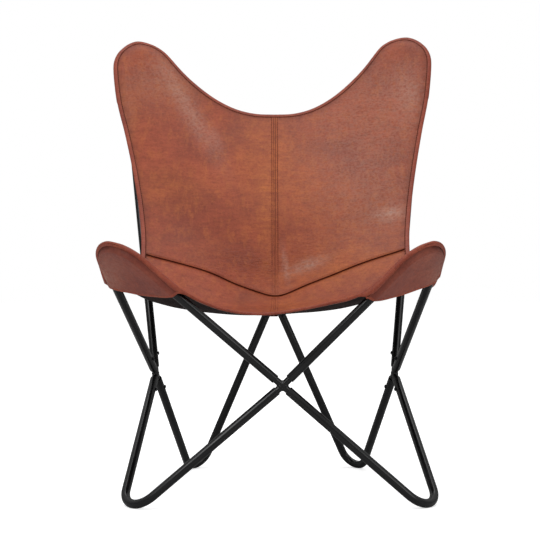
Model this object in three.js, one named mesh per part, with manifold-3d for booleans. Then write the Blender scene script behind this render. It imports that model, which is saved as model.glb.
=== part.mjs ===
import * as THREE from "three";
import { mergeVertices } from "three/addons/utils/BufferGeometryUtils.js";
import Module from "manifold-3d";

// Butterfly sling chair: a knock-down frame of bent steel tube that carries a leather sling.
// Millimetres, +Z up, +Y from the front of the chair to its back, +X to the right seen from the front.
// Eight tubes, each bent to a V, meet in four cross connectors. The frame's own zero is the floor,
// below the middle of the front cross; the whole group is then moved over the middle of its own box.

// Steel tube and what fits in it.
const tubeDiameter = 16;
const tubeWall = 1.5;
const fitClearance = 0.3;
const tubeSides = 14;
const boreSides = 10;
const bendSteps = 8;
const footFlatDepth = 0.5;
const floorCutterWidth = 4000;
const floorCutterDepth = 40;

// Centres of the four crosses; x is measured from the middle plane.
const frontCross = { y: 0, z: 217 };
const backCross = { y: 418, z: 364 };
const sideCross = { x: 233, y: 273, z: 218 };

// The photographed chair leans a little. Those named aside move its feet, front cross, seat corners
// and side edges sideways. Those named lean raise the right of a pair and lower the left by as much.
const feetAside = 5;
const frontCrossAside = 8;
const seatCornersAside = -12;
const sideEdgesAside = 7;
const backCornersLean = 5;
const frontEdgeLean = 4;
const seatPocketsLean = 10;

// Tips of the V tubes, on the tube's centre line, with the centre-line radius of the bend there.
const frontFoot = { x: 262, y: 20, bendRadius: 46 };
const rearFoot = { x: 167, y: 501, bendRadius: 32 };
const seatCorner = { x: 280, y: 10, z: 450, bendRadius: 58 };
const backCorner = { x: 293, y: 611, z: 904, bendRadius: 40 };

// How far each tube stops short of the centre of its cross.
const frontUpperSetback = 17;
const frontLowerSetback = 13;
const sideSetback = 15;
const backUpperSetback = 22;
const backLowerSetback = 23;

// Cross connectors and their screws.
const screwDistance = 42;
const stubBeyondScrew = 12;
const stubSides = 12;
const screwDiameter = 4;
const screwHeadDiameter = 7.6;
const screwHeadHeight = 2.4;
const screwHeadChamfer = 0.8;
const screwSocketDiameter = 2.9;
const screwSocketDepth = 1.3;
const screwLength = 10;
const screwSides = 8;
const holeExtraDepth = 1;

// Leather sling.
const leatherThickness = 3.2;
const seamGap = 0.3;
const seatRimBeyondTube = 21;
const backRimBeyondTube = 25;
const columns = 12;
const seatRows = 8;
const backRows = 14;

// The sling on the middle plane, from the front edge over the seat and the crease to the top edge.
const frontEdgeMiddle = { y: 30, z: 341 };
const seatLow = { y: 150, z: 339 };
const creaseMiddle = { y: 305, z: 368 };
const backMiddle = { y: 425, z: 545 };
const topEdgeMiddle = { y: 582, z: 757 };

// Side edges sag and draw in between their two pockets, and the crease ends on them.
const sideEdgeSag = 112;
const sideEdgeInset = 50;
const creaseEndShare = 0.47;
const creaseLap = 12;
const lapGap = 0.7;

// How the sling bows between its middle and its edges, and how finely its lines are drawn.
const middleRounding = 0.18;
const creaseBowShare = 0.72;
const seatBowShare = 3.2;
const backBowShare = 1.8;
const frontBowShare = 2;
const topBowShare = 1.8;
const edgeFade = 3;
const smoothingPasses = 3;
const smoothingShare = 0.5;
const rimSteps = 6;
const finePerPoint = 8;

// How far the sling's edge runs straight past a bend, beside the tube to the middle and beside the
// tube to the side, how much of the half bend it follows first, and how long the two seams of the
// pocket there are, from the corner's tip.
const seatPocket = {
  middleStraight: 95,
  sideStraight: 75,
  middleTurn: 1,
  sideTurn: 1,
  middleSeam: 173,
  sideSeam: 127,
  seamsLean: seatPocketsLean,
  bow: 12,
};
const backPocket = {
  middleStraight: 0,
  sideStraight: 95,
  middleTurn: 0.7,
  sideTurn: 1,
  middleSeam: 150,
  sideSeam: 185,
  seamsLean: 0,
  bow: 24,
};
const pocketEase = 3;
const pocketRimGap = 0.8;
const pocketRows = 8;
const pocketColumns = 10;
const pocketHollowShare = 0.25;
const pocketHollowReach = 48;
const pocketTipShare = 0.3;

// Strips of leather behind the two middle seams.
const stripWidth = 16;
const stripThickness = 2;
const stripGap = 0.7;
const stripRows = 16;

// Finishes, as seen in the photograph.
const steelColour = 0x17181a;
const screwColour = 0x1d1e20;
const leatherColour = 0xa0604a;
const pocketColour = 0x7a4a40;

// How closely points are joined, and how often a V's corner is worked out from its tip.
const weldDistance = 0.003;
const settlePasses = 80;

const tubeRadius = tubeDiameter / 2;
const boreRadius = tubeRadius - tubeWall;
const stubRadius = boreRadius - fitClearance;
const overrun = tubeDiameter;
const rowCount = seatRows + backRows;
const sheetLift = tubeRadius + fitClearance + leatherThickness / 2;

const wasm = await Module();
wasm.setup();

const vec = (x, y, z) => new THREE.Vector3(x, y, z);
const along = (from, direction, length) => from.clone().addScaledVector(direction, length);
const towards = (from, to) => to.clone().sub(from).normalize();

// Drops all but the positions, joins equal points and leaves out triangles that have no area.
function welded(geometry) {
  const bare = new THREE.BufferGeometry();
  bare.setAttribute("position", geometry.getAttribute("position"));
  if (geometry.index) bare.setIndex(geometry.index);
  const merged = mergeVertices(bare, weldDistance);
  const kept = [];
  for (let i = 0; i < merged.index.count; i += 3) {
    const [a, b, c] = [0, 1, 2].map((k) => merged.index.getX(i + k));
    if (a !== b && b !== c && c !== a) kept.push(a, b, c);
  }
  merged.setIndex(kept);
  return merged;
}

// A closed geometry as a solid that can be cut and joined.
function solidOf(geometry) {
  const merged = welded(geometry);
  return new wasm.Manifold(
    new wasm.Mesh({
      numProp: 3,
      vertProperties: merged.getAttribute("position").array,
      triVerts: new Uint32Array(merged.index.array),
    }),
  );
}

// The surface of a solid as a geometry.
function geometryOf(solid) {
  const mesh = solid.getMesh();
  const geometry = new THREE.BufferGeometry();
  geometry.setAttribute("position", new THREE.BufferAttribute(mesh.vertProperties, 3));
  geometry.setIndex(new THREE.BufferAttribute(mesh.triVerts, 1));
  return geometry;
}

// A regular polygon about the origin; around a circle rather than in it where it is a bore.
function polygon(radius, sides, aroundCircle) {
  const corner = aroundCircle ? radius / Math.cos(Math.PI / sides) : radius;
  return Array.from({ length: sides }, (_, i) => {
    const angle = (2 * Math.PI * (i + 0.5)) / sides;
    return new THREE.Vector2(corner * Math.cos(angle), corner * Math.sin(angle));
  });
}

// A straight round bar between two points.
function bar(from, to, radius, sides, aroundCircle) {
  const length = from.distanceTo(to);
  const corner = aroundCircle ? radius / Math.cos(Math.PI / sides) : radius;
  const geometry = new THREE.CylinderGeometry(corner, corner, length, sides);
  const turn = new THREE.Quaternion().setFromUnitVectors(vec(0, 1, 0), towards(from, to));
  geometry.applyQuaternion(turn);
  const middle = from.clone().lerp(to, 0.5);
  geometry.translate(middle.x, middle.y, middle.z);
  return geometry;
}

// A path through chosen stations, so that a tube has rings only where it bends or ends.
class StationPath extends THREE.Curve {
  constructor(stations) {
    super();
    this.stations = stations;
  }

  getUtoTmapping(u) {
    return u;
  }

  station(t) {
    return this.stations[Math.round(t * (this.stations.length - 1))];
  }

  getPoint(t, target = new THREE.Vector3()) {
    return target.copy(this.station(t).point);
  }

  getTangent(t, target = new THREE.Vector3()) {
    return target.copy(this.station(t).tangent);
  }
}

// A V of tube: two straight arms from a rounded tip to the centres of two crosses.
// The tip is where the centre line turns back, and a foot's tip is as high as its flat asks.
class VTube {
  constructor(tip, bendRadius, ends, onFloor) {
    this.bendRadius = bendRadius;
    this.ends = ends;
    this.tip = tip.clone();
    this.settle(onFloor);
    this.arms = [
      { direction: this.armDirection(1), outward: this.outward(1) },
      { direction: this.armDirection(-1), outward: this.outward(-1) },
    ];
    this.centre = along(this.tip, this.inward, bendRadius);
    this.normal = this.arms[0].direction.clone().cross(this.arms[1].direction).normalize();
  }

  // Finds the corner point that the two arms run to, which gives the tip its place.
  settle(onFloor) {
    const middle = this.ends[0].clone().lerp(this.ends[1], 0.5);
    let corner = along(this.tip, towards(this.tip, middle), -this.bendRadius);
    for (let pass = 0; pass < settlePasses; pass += 1) {
      const first = towards(corner, this.ends[0]);
      const second = towards(corner, this.ends[1]);
      this.inward = first.clone().add(second).normalize();
      this.across = first.clone().sub(second).normalize();
      this.halfAngle = Math.acos(this.inward.dot(first));
      if (onFloor) {
        const rise = Math.hypot(this.inward.z, this.across.z) - this.inward.z;
        this.tip.z = tubeRadius - footFlatDepth + this.bendRadius * rise;
      }
      const reach = this.bendRadius * (1 / Math.sin(this.halfAngle) - 1);
      corner = along(this.tip, this.inward, -reach);
    }
  }

  armDirection(side) {
    const direction = this.inward.clone().multiplyScalar(Math.cos(this.halfAngle));
    return direction.addScaledVector(this.across, side * Math.sin(this.halfAngle));
  }

  outward(side) {
    const direction = this.inward.clone().multiplyScalar(-Math.sin(this.halfAngle));
    return direction.addScaledVector(this.across, side * Math.cos(this.halfAngle));
  }

  // A point of the bend, moved out of the centre line; the angle runs from one arm to the other.
  onBend(share, beyond) {
    const halfTurn = Math.PI / 2 - this.halfAngle;
    const angle = halfTurn * (1 - 2 * share);
    const radial = this.inward.clone().multiplyScalar(-Math.cos(angle));
    radial.addScaledVector(this.across, Math.sin(angle));
    return along(this.centre, radial, this.bendRadius + beyond);
  }

  bendTangent(share) {
    const halfTurn = Math.PI / 2 - this.halfAngle;
    const angle = halfTurn * (1 - 2 * share);
    const tangent = this.inward.clone().multiplyScalar(-Math.sin(angle));
    return tangent.addScaledVector(this.across, -Math.cos(angle)).normalize();
  }

  // A point beside an arm, a length past the end of the bend.
  besideArm(arm, length, beyond) {
    const start = along(this.centre, this.arms[arm].outward, this.bendRadius + beyond);
    return along(start, this.arms[arm].direction, length);
  }

  // How long an arm is between the bend and its cross.
  armLength(arm) {
    return this.ends[arm].clone().sub(this.besideArm(arm, 0, 0)).dot(this.arms[arm].direction);
  }

  // The distance from a point to the tube's centre line.
  distance(point) {
    const flat = point.clone().sub(this.centre);
    const angle = Math.atan2(flat.dot(this.across), -flat.dot(this.inward));
    const halfTurn = Math.PI / 2 - this.halfAngle;
    const share = THREE.MathUtils.clamp((1 - angle / halfTurn) / 2, 0, 1);
    const distances = [point.distanceTo(this.onBend(share, 0))];
    for (const arm of [0, 1]) {
      const start = this.besideArm(arm, 0, 0);
      const line = new THREE.Line3(start, along(start, this.arms[arm].direction, this.armLength(arm)));
      distances.push(point.distanceTo(line.closestPointToPoint(point, true, vec(0, 0, 0))));
    }
    return Math.min(...distances);
  }

  path(setbacks) {
    const { direction } = this.arms[0];
    const back = direction.clone().negate();
    const onward = this.arms[1].direction;
    const stations = [{ point: along(this.ends[0], direction, -setbacks[0]), tangent: back }];
    for (let i = 0; i <= bendSteps; i += 1) {
      const share = i / bendSteps;
      stations.push({ point: this.onBend(share, 0), tangent: this.bendTangent(share) });
    }
    stations.push({ point: along(this.ends[1], onward, -setbacks[1]), tangent: onward.clone() });
    return new StationPath(stations);
  }

  geometry(setbacks) {
    const path = this.path(setbacks);
    const section = new THREE.Shape(polygon(tubeRadius, tubeSides, false));
    section.holes.push(new THREE.Path(polygon(boreRadius, boreSides, true)));
    const steps = path.stations.length - 1;
    return new THREE.ExtrudeGeometry(section, { steps, extrudePath: path, bevelEnabled: false });
  }
}

// The crosses, by name, with the direction that looks into the chair.
const crosses = {
  front: { centre: vec(frontCrossAside, frontCross.y, frontCross.z), inside: vec(0, 1, 0) },
  back: { centre: vec(0, backCross.y, backCross.z), inside: vec(0, -1, 0) },
  left: { centre: vec(-sideCross.x, sideCross.y, sideCross.z), inside: vec(1, 0, 0) },
  right: { centre: vec(sideCross.x, sideCross.y, sideCross.z), inside: vec(-1, 0, 0) },
};

const sides = [
  { name: "left", sign: -1 },
  { name: "right", sign: 1 },
];

// The four kinds of V: the first arm runs to the front or back cross, the second to a side cross.
const kinds = [
  {
    label: "front_SIDE_leg",
    tip: frontFoot,
    aside: feetAside,
    lean: 0,
    foot: true,
    cross: "front",
    setback: frontLowerSetback,
  },
  {
    label: "rear_SIDE_leg",
    tip: rearFoot,
    aside: feetAside,
    lean: 0,
    foot: true,
    cross: "back",
    setback: backLowerSetback,
  },
  {
    label: "seat_SIDE_arm",
    tip: seatCorner,
    aside: seatCornersAside,
    lean: 0,
    foot: false,
    cross: "front",
    setback: frontUpperSetback,
  },
  {
    label: "back_SIDE_arm",
    tip: backCorner,
    aside: 0,
    lean: backCornersLean,
    foot: false,
    cross: "back",
    setback: backUpperSetback,
  },
];

function makeTube(kind, side) {
  const height = kind.foot ? 0 : kind.tip.z + side.sign * kind.lean;
  const tip = vec(side.sign * kind.tip.x + kind.aside, kind.tip.y, height);
  const ends = [crosses[kind.cross].centre, crosses[side.name].centre];
  const shape = new VTube(tip, kind.tip.bendRadius, ends, kind.foot);
  const name = kind.label.replace("SIDE", side.name);
  return { name, kind, side, shape, setbacks: [kind.setback, sideSetback] };
}

const tubes = kinds.flatMap((kind) => sides.map((side) => makeTube(kind, side)));

// Each arm of each V has one screw, from the inner face of the tube into the stub of its cross.
function makeJoint(tube, arm) {
  const crossName = arm === 0 ? tube.kind.cross : tube.side.name;
  const { centre, inside } = crosses[crossName];
  const outwards = tube.shape.arms[arm].direction.clone().negate();
  const axis = inside.clone().addScaledVector(outwards, -inside.dot(outwards)).normalize();
  const partner = arm === 0 ? tube.side.name : { front: "front", back: "rear" }[tube.kind.cross];
  const level = tube.kind.foot ? "lower" : "upper";
  return {
    tube,
    crossName,
    centre,
    outwards,
    axis,
    seat: along(centre, outwards, screwDistance),
    name: `${crossName}_cross_screw_${level}_${partner}`,
  };
}

const joints = tubes.flatMap((tube) => [0, 1].map((arm) => makeJoint(tube, arm)));

// The hole for one screw, through one wall of the tube and into the stub.
function screwHole(joint) {
  const top = along(joint.seat, joint.axis, tubeRadius + overrun);
  const depth = screwLength - tubeRadius + holeExtraDepth;
  const bottom = along(joint.seat, joint.axis, -depth);
  return solidOf(bar(top, bottom, screwDiameter / 2 + fitClearance, screwSides, true));
}

// A button-head screw with a round socket, under its head a clearance off the tube.
function screwGeometry(joint) {
  const shank = screwDiameter / 2;
  const head = screwHeadDiameter / 2;
  const socket = screwSocketDiameter / 2;
  const profile = [
    [0, -screwLength],
    [shank, -screwLength],
    [shank, 0],
    [head, 0],
    [head, screwHeadHeight - screwHeadChamfer],
    [head - screwHeadChamfer, screwHeadHeight],
    [socket, screwHeadHeight],
    [socket, screwHeadHeight - screwSocketDepth],
    [0, screwHeadHeight - screwSocketDepth],
  ].map(([radius, height]) => new THREE.Vector2(radius, height));
  const geometry = new THREE.LatheGeometry(profile, screwSides);
  geometry.applyQuaternion(new THREE.Quaternion().setFromUnitVectors(vec(0, 1, 0), joint.axis));
  const foot = along(joint.seat, joint.axis, tubeRadius + fitClearance);
  return geometry.translate(foot.x, foot.y, foot.z);
}

// A box below the floor that cuts the feet flat.
function floorCutter() {
  const box = new THREE.BoxGeometry(floorCutterWidth, floorCutterWidth, floorCutterDepth);
  return solidOf(box.translate(0, 0, -floorCutterDepth / 2));
}

function tubeGeometry(tube) {
  let solid = solidOf(tube.shape.geometry(tube.setbacks));
  for (const joint of joints) if (joint.tube === tube) solid = solid.subtract(screwHole(joint));
  if (tube.kind.foot) solid = solid.subtract(floorCutter());
  return geometryOf(solid);
}

// A cross connector: four solid stubs welded at their middle, each drilled for its screw.
function connectorGeometry(name) {
  const own = joints.filter((joint) => joint.crossName === name);
  const stubs = own.map((joint) => {
    const end = along(joint.centre, joint.outwards, screwDistance + stubBeyondScrew);
    const start = along(joint.centre, joint.outwards, -stubRadius / 2);
    return solidOf(bar(start, end, stubRadius, stubSides, false));
  });
  let solid = stubs.reduce((joined, stub) => joined.add(stub));
  for (const joint of own) solid = solid.subtract(screwHole(joint));
  return geometryOf(solid);
}

// Points spaced evenly along a polyline.
function spaced(points, count) {
  const reach = [0];
  for (let i = 1; i < points.length; i += 1) reach.push(reach[i - 1] + points[i].distanceTo(points[i - 1]));
  const whole = reach[reach.length - 1];
  return Array.from({ length: count + 1 }, (_, i) => {
    const at = (whole * i) / count;
    let k = 1;
    while (k < reach.length - 1 && reach[k] < at) k += 1;
    const share = (at - reach[k - 1]) / (reach[k] - reach[k - 1]);
    return points[k - 1].clone().lerp(points[k], share);
  });
}

const shapeOf = (tip, side) => tubes.find((tube) => tube.kind.tip === tip && tube.side === side).shape;

// The side of a V's plane on which the sitter is.
function sitterNormal(shape) {
  const { normal } = shape;
  return normal.z > 0 ? normal.clone() : normal.clone().negate();
}

// How far a point has gone from the middle of a row towards its end, rounded at the middle.
function bowed(share, power) {
  const ease = (value) => Math.hypot(value, middleRounding) - middleRounding;
  return (ease(share) / ease(1)) ** power;
}

// The rim of a corner, from its tip round half of the bend and along one arm.
function rimHalf(shape, arm, pocket, beyond) {
  const lift = sitterNormal(shape).multiplyScalar(sheetLift);
  const [turn, length] = arm === 0
    ? [-pocket.middleTurn, pocket.middleStraight]
    : [pocket.sideTurn, pocket.sideStraight];
  const points = [];
  for (let i = 0; i <= rimSteps; i += 1) {
    const share = 0.5 + (0.5 * turn * i) / rimSteps;
    points.push(shape.onBend(share, beyond).add(lift));
  }
  if (length > 0) points.push(shape.besideArm(arm, length, beyond).add(lift));
  return points;
}

// A smooth line through points, as many short steps.
function smoothLine(points) {
  const curve = new THREE.CatmullRomCurve3(points, false, "centripetal");
  return curve.getPoints(finePerPoint * (points.length - 1));
}

// The front or top edge, from the tip of a corner in to the middle of the chair.
function crossEdge(middle, rim, power, raise) {
  const mouth = rim[rim.length - 1];
  const free = [];
  for (let i = rimSteps - 1; i >= 0; i -= 1) {
    const share = i / rimSteps;
    const rise = bowed(share, power);
    free.push(vec(
      THREE.MathUtils.lerp(middle.x, mouth.x, share),
      THREE.MathUtils.lerp(middle.y, mouth.y, rise),
      THREE.MathUtils.lerp(middle.z, mouth.z, rise) + 4 * share * (1 - share) * raise,
    ));
  }
  return smoothLine([...rim, ...free]);
}

// A side edge from the tip of the seat corner, through its sag, to the tip of the back corner,
// with the place of the crease on it.
function sideEdge(seatRim, backRim, sign) {
  const from = seatRim[seatRim.length - 1];
  const to = backRim[backRim.length - 1];
  const free = [];
  for (let i = 1; i < 2 * rimSteps; i += 1) {
    const share = i / (2 * rimSteps);
    const fall = 4 * share * (1 - share);
    const point = from.clone().lerp(to, share);
    const aside = sideEdgesAside - sign * sideEdgeInset;
    free.push(point.add(vec(aside * fall, 0, -sideEdgeSag * fall)));
  }
  const line = smoothLine([...seatRim, ...free, ...backRim.slice().reverse()]);
  const crease = Math.round(finePerPoint * (rimSteps + 1 + creaseEndShare * 2 * rimSteps));
  return { seat: line.slice(0, crease + 1), back: line.slice(crease) };
}

// The sling's line on the middle plane, with one row at the crease.
function middleLine() {
  const onPlane = ({ y, z }) => vec(0, y, z);
  const stops = [frontEdgeMiddle, seatLow, creaseMiddle, backMiddle, topEdgeMiddle].map(onPlane);
  const fine = smoothLine(stops);
  const crease = finePerPoint * 2;
  const seatPart = spaced(fine.slice(0, crease + 1), seatRows);
  const backPart = spaced(fine.slice(crease), backRows);
  return [...seatPart, ...backPart.slice(1)];
}

// The four edges that half of the sling hangs between, each as many short steps.
function slingEdges(side) {
  const seat = shapeOf(seatCorner, side);
  const back = shapeOf(backCorner, side);
  const middle = middleLine();
  const frontRim = rimHalf(seat, 0, seatPocket, seatRimBeyondTube);
  const topRim = rimHalf(back, 0, backPocket, backRimBeyondTube);
  return {
    middle,
    front: crossEdge(middle[0], frontRim, frontBowShare, side.sign * frontEdgeLean),
    top: crossEdge(middle[rowCount], topRim, topBowShare, 0),
    side: sideEdge(
      rimHalf(seat, 1, seatPocket, seatRimBeyondTube),
      rimHalf(back, 1, backPocket, backRimBeyondTube),
      side.sign,
    ),
  };
}

// Half of the sling's middle surface: rows run from the middle line to the side edge.
function slingGrid(edges) {
  const { middle } = edges;
  const front = spaced(edges.front, columns).reverse();
  const top = spaced(edges.top, columns).reverse();
  const edge = [...spaced(edges.side.seat, seatRows), ...spaced(edges.side.back, backRows).slice(1)];
  const base = (row, column) => {
    const share = column / columns;
    const nearCrease = row < seatRows ? row / seatRows : (rowCount - row) / backRows;
    const outerPower = row < seatRows ? seatBowShare : backBowShare;
    const power = THREE.MathUtils.lerp(outerPower, creaseBowShare, nearCrease ** 2);
    const rise = bowed(share, power);
    const point = middle[row].clone().lerp(edge[row], share);
    point.y = THREE.MathUtils.lerp(middle[row].y, edge[row].y, rise);
    point.z = THREE.MathUtils.lerp(middle[row].z, edge[row].z, rise);
    return point;
  };
  const grid = [];
  for (let row = 0; row <= rowCount; row += 1) {
    const frontShare = Math.max(0, 1 - row / seatRows) ** edgeFade;
    const topShare = Math.max(0, (row - seatRows) / backRows) ** 2;
    grid.push([]);
    for (let column = 0; column <= columns; column += 1) {
      const point = base(row, column);
      point.addScaledVector(front[column].clone().sub(base(0, column)), frontShare);
      point.addScaledVector(top[column].clone().sub(base(rowCount, column)), topShare);
      grid[row].push(point);
    }
  }
  return grid;
}

const slingTubes = tubes.filter((tube) => !tube.kind.foot);

// Moves a point of the sling off the tubes that it would cut, towards the sitter.
function clearOfTubes(point) {
  for (const { shape } of slingTubes) {
    const normal = sitterNormal(shape);
    const away = shape.distance(point);
    const height = point.clone().sub(shape.centre).dot(normal);
    if (away < sheetLift) {
      const flat = Math.sqrt(Math.max(0, away * away - height * height));
      point.addScaledVector(normal, Math.sqrt(sheetLift * sheetLift - flat * flat) - height);
    }
  }
}

// Evens out the inside of a grid a little and keeps it clear of the tubes.
function smoothed(grid) {
  const neighbours = [[-1, 0], [1, 0], [0, -1], [0, 1]];
  let now = grid;
  for (let pass = 0; pass < smoothingPasses; pass += 1) {
    now = now.map((line, row) =>
      line.map((point, column) => {
        const held = row === 0 || row === rowCount || column === 0 || column === columns;
        if (held) return point;
        const mean = vec(0, 0, 0);
        for (const [down, out] of neighbours) mean.add(now[row + down][column + out]);
        const moved = point.clone().lerp(mean.divideScalar(neighbours.length), smoothingShare);
        clearOfTubes(moved);
        return moved;
      }),
    );
  }
  return now;
}

// The direction square to a grid's surface at one of its points, towards the sitter.
// At a middle seam it stays in the middle plane, so that the two halves meet face to face.
function gridNormal(grid, row, column, sign) {
  const last = grid.length - 1;
  const far = grid[0].length - 1;
  const down = grid[Math.min(row + 1, last)][column].clone().sub(grid[Math.max(row - 1, 0)][column]);
  const out = grid[row][Math.min(column + 1, far)].clone().sub(grid[row][Math.max(column - 1, 0)]);
  const normal = out.cross(down).multiplyScalar(sign);
  if (Math.abs(grid[row][column].x) < seamGap) normal.x = 0;
  return normal.normalize();
}

// A sheet of even thickness about a grid of points, closed round its edge.
function sheetGeometry(grid, thickness, sign) {
  const wide = grid[0].length;
  const positions = [];
  for (const face of [1, -1]) {
    grid.forEach((line, row) =>
      line.forEach((point, column) => {
        const normal = gridNormal(grid, row, column, sign);
        positions.push(...along(point, normal, (face * thickness) / 2).toArray());
      }),
    );
  }
  const under = grid.length * wide;
  const quad = (a, b, c, d) => (sign > 0 ? [a, b, c, a, c, d] : [a, c, b, a, d, c]);
  const faces = [];
  for (let row = 0; row + 1 < grid.length; row += 1) {
    for (let column = 0; column + 1 < wide; column += 1) {
      const a = row * wide + column;
      const [b, c, d] = [a + 1, a + wide + 1, a + wide];
      faces.push(...quad(a, b, c, d), ...quad(under + a, under + d, under + c, under + b));
    }
  }
  const edge = [];
  for (let column = 0; column + 1 < wide; column += 1) edge.push(column);
  for (let row = 0; row + 1 < grid.length; row += 1) edge.push(row * wide + wide - 1);
  for (let column = wide - 1; column > 0; column -= 1) edge.push((grid.length - 1) * wide + column);
  for (let row = grid.length - 1; row > 0; row -= 1) edge.push(row * wide);
  edge.forEach((a, i) => {
    const b = edge[(i + 1) % edge.length];
    faces.push(...quad(a, under + a, under + b, b));
  });
  const geometry = new THREE.BufferGeometry();
  geometry.setAttribute("position", new THREE.Float32BufferAttribute(positions, 3));
  geometry.setIndex(faces);
  return geometryOf(solidOf(geometry));
}

// The rows of a panel, with its middle column moved half a gap off the middle plane.
function halfOf(grid, firstRow, lastRow, sign) {
  return grid.slice(firstRow, lastRow + 1).map((line) =>
    line.map((point, column) => {
      const moved = point.clone();
      if (column === 0) moved.x = (sign * seamGap) / 2;
      return moved;
    }),
  );
}

// The seat panel dips behind the back panel at the crease and runs on under it.
function seatPanelGrid(grid, sign) {
  const rows = halfOf(grid, 0, seatRows, sign);
  const beyond = grid[seatRows + 1];
  const drop = leatherThickness + lapGap;
  const crease = rows.pop();
  const normals = crease.map((_, column) => gridNormal(grid, seatRows, column, sign));
  const before = crease.map((point, column) => {
    const previous = rows[rows.length - 1][column];
    return along(point, towards(point, previous), creaseLap);
  });
  const at = crease.map((point, column) => along(point, normals[column], -drop));
  const past = at.map((point, column) => {
    const ahead = towards(crease[column], beyond[column]);
    return along(point, ahead, creaseLap);
  });
  return [...rows, before, at, past];
}

// The first stretch of a line, of a given length, as evenly spaced points.
function firstStretch(line, length, count) {
  const kept = [line[0]];
  let reach = 0;
  for (let i = 1; i < line.length && reach < length; i += 1) {
    reach += line[i].distanceTo(line[i - 1]);
    kept.push(line[i]);
  }
  return spaced(kept, count);
}

// How far a pocket is down at a point of the V's plane: 0 at the rim, 1 below the tube and less
// again between the two arms.
function underTube(shape, flat) {
  const away = shape.distance(flat);
  const fromCentre = flat.clone().sub(shape.centre);
  const beside = [0, 1].every((arm) => fromCentre.dot(shape.arms[arm].outward) < shape.bendRadius);
  if (beside || fromCentre.length() < shape.bendRadius) {
    return 1 - THREE.MathUtils.smoothstep(away, tubeRadius, pocketHollowReach) * pocketHollowShare;
  }
  return THREE.MathUtils.smoothstep(seatRimBeyondTube - away, 0, seatRimBeyondTube - tubeRadius);
}

// A pocket piece below a corner of the sling, from near the corner's tip to the pocket's mouth.
function pocketGrid(shape, pocket, middleEdge, sideEdgeLine, sign) {
  const normal = sitterNormal(shape);
  const rims = [
    firstStretch(middleEdge, pocket.middleSeam, pocketRows),
    firstStretch(sideEdgeLine, pocket.sideSeam - sign * pocket.seamsLean, pocketRows),
  ];
  const rimPoint = (rim, row) => (row > 0 ? rim[row] : rim[0].clone().lerp(rim[1], pocketTipShare));
  const lowest = -(sheetLift + pocketEase);
  const grid = [];
  for (let row = 0; row <= pocketRows; row += 1) {
    grid.push([]);
    for (let column = 0; column <= pocketColumns; column += 1) {
      const share = column / pocketColumns;
      const point = rimPoint(rims[0], row).clone().lerp(rimPoint(rims[1], row), share);
      const bow = (4 * share * (1 - share) * pocket.bow * row) / pocketRows;
      point.addScaledVector(shape.inward, bow);
      const height = point.clone().sub(shape.centre).dot(normal);
      const flat = along(point, normal, -height);
      const nearest = height - leatherThickness - pocketRimGap;
      const depth = lowest + (nearest - lowest) * (1 - underTube(shape, flat));
      grid[row].push(along(flat, normal, depth));
    }
  }
  return grid;
}

// A strip behind a middle seam, along some rows of the middle line.
function stripGeometry(grid, firstRow, lastRow) {
  const line = spaced(grid.slice(firstRow, lastRow + 1).map((row) => row[0]), stripRows);
  const drop = (leatherThickness + stripThickness) / 2 + stripGap;
  const rows = line.map((point, i) => {
    const ahead = line[Math.min(i + 1, stripRows)].clone().sub(line[Math.max(i - 1, 0)]);
    const normal = vec(0, -ahead.z, ahead.y).normalize();
    const middle = along(point, normal, -drop);
    return [-1, 0, 1].map((step) => along(middle, vec(1, 0, 0), (step * stripWidth) / 2));
  });
  return sheetGeometry(rows, stripThickness, 1);
}

const finish = (color, roughness, metalness) => () =>
  new THREE.MeshStandardMaterial({ color, roughness, metalness });
const steel = finish(steelColour, 0.42, 0.1);
const blackScrew = finish(screwColour, 0.35, 0.6);
const leather = finish(leatherColour, 0.5, 0);
const pocketFace = finish(pocketColour, 0.8, 0);

const chair = new THREE.Group();

function addPart(name, geometry, material) {
  const mesh = new THREE.Mesh(geometry, material);
  mesh.name = name;
  chair.add(mesh);
}

for (const tube of tubes) addPart(tube.name, tubeGeometry(tube), steel());
for (const name of Object.keys(crosses)) {
  addPart(`${name}_cross_connector`, connectorGeometry(name), steel());
}
for (const joint of joints) addPart(joint.name, screwGeometry(joint), blackScrew());

for (const side of sides) {
  const edges = slingEdges(side);
  const grid = smoothed(slingGrid(edges));
  const addSheet = (name, sheet, sign, material) =>
    addPart(`${name}_${side.name}`, sheetGeometry(sheet, leatherThickness, sign), material);
  addSheet("seat_panel", seatPanelGrid(grid, side.sign), side.sign, leather());
  addSheet("back_panel", halfOf(grid, seatRows, rowCount, side.sign), side.sign, leather());
  const pocketBelow = (tip, pocket, middleEdge, sideLine) =>
    pocketGrid(shapeOf(tip, side), pocket, middleEdge, sideLine, side.sign);
  const backSide = edges.side.back.slice().reverse();
  const seatSheet = pocketBelow(seatCorner, seatPocket, edges.front, edges.side.seat);
  const backSheet = pocketBelow(backCorner, backPocket, edges.top, backSide);
  addSheet("seat_pocket", seatSheet, side.sign, pocketFace());
  addSheet("back_pocket", backSheet, -side.sign, pocketFace());
  if (side.sign > 0) {
    addPart("seat_seam_strip", stripGeometry(grid, 0, seatRows - 1), pocketFace());
    addPart("back_seam_strip", stripGeometry(grid, seatRows + 1, rowCount), pocketFace());
  }
}

// The whole chair stands on the floor, over the middle of its own box.
const box = new THREE.Box3().setFromObject(chair);
chair.position.set(-(box.min.x + box.max.x) / 2, -(box.min.y + box.max.y) / 2, -box.min.z);

export default chair;
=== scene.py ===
"""A butterfly chair: a leather sling with corner pockets on a bent steel frame."""

import logging
import math
from collections.abc import Iterable, Sequence
from dataclasses import dataclass
from enum import Enum

import bmesh
import bpy
import numpy as np
from bmesh.types import BMEdge, BMesh, BMVert
from bpy.types import Material, Modifier, Node, NodeSocket, NodeTree, Object
from mathutils import Matrix, Vector
from mathutils.bvhtree import BVHTree
from mathutils.noise import noise


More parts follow.
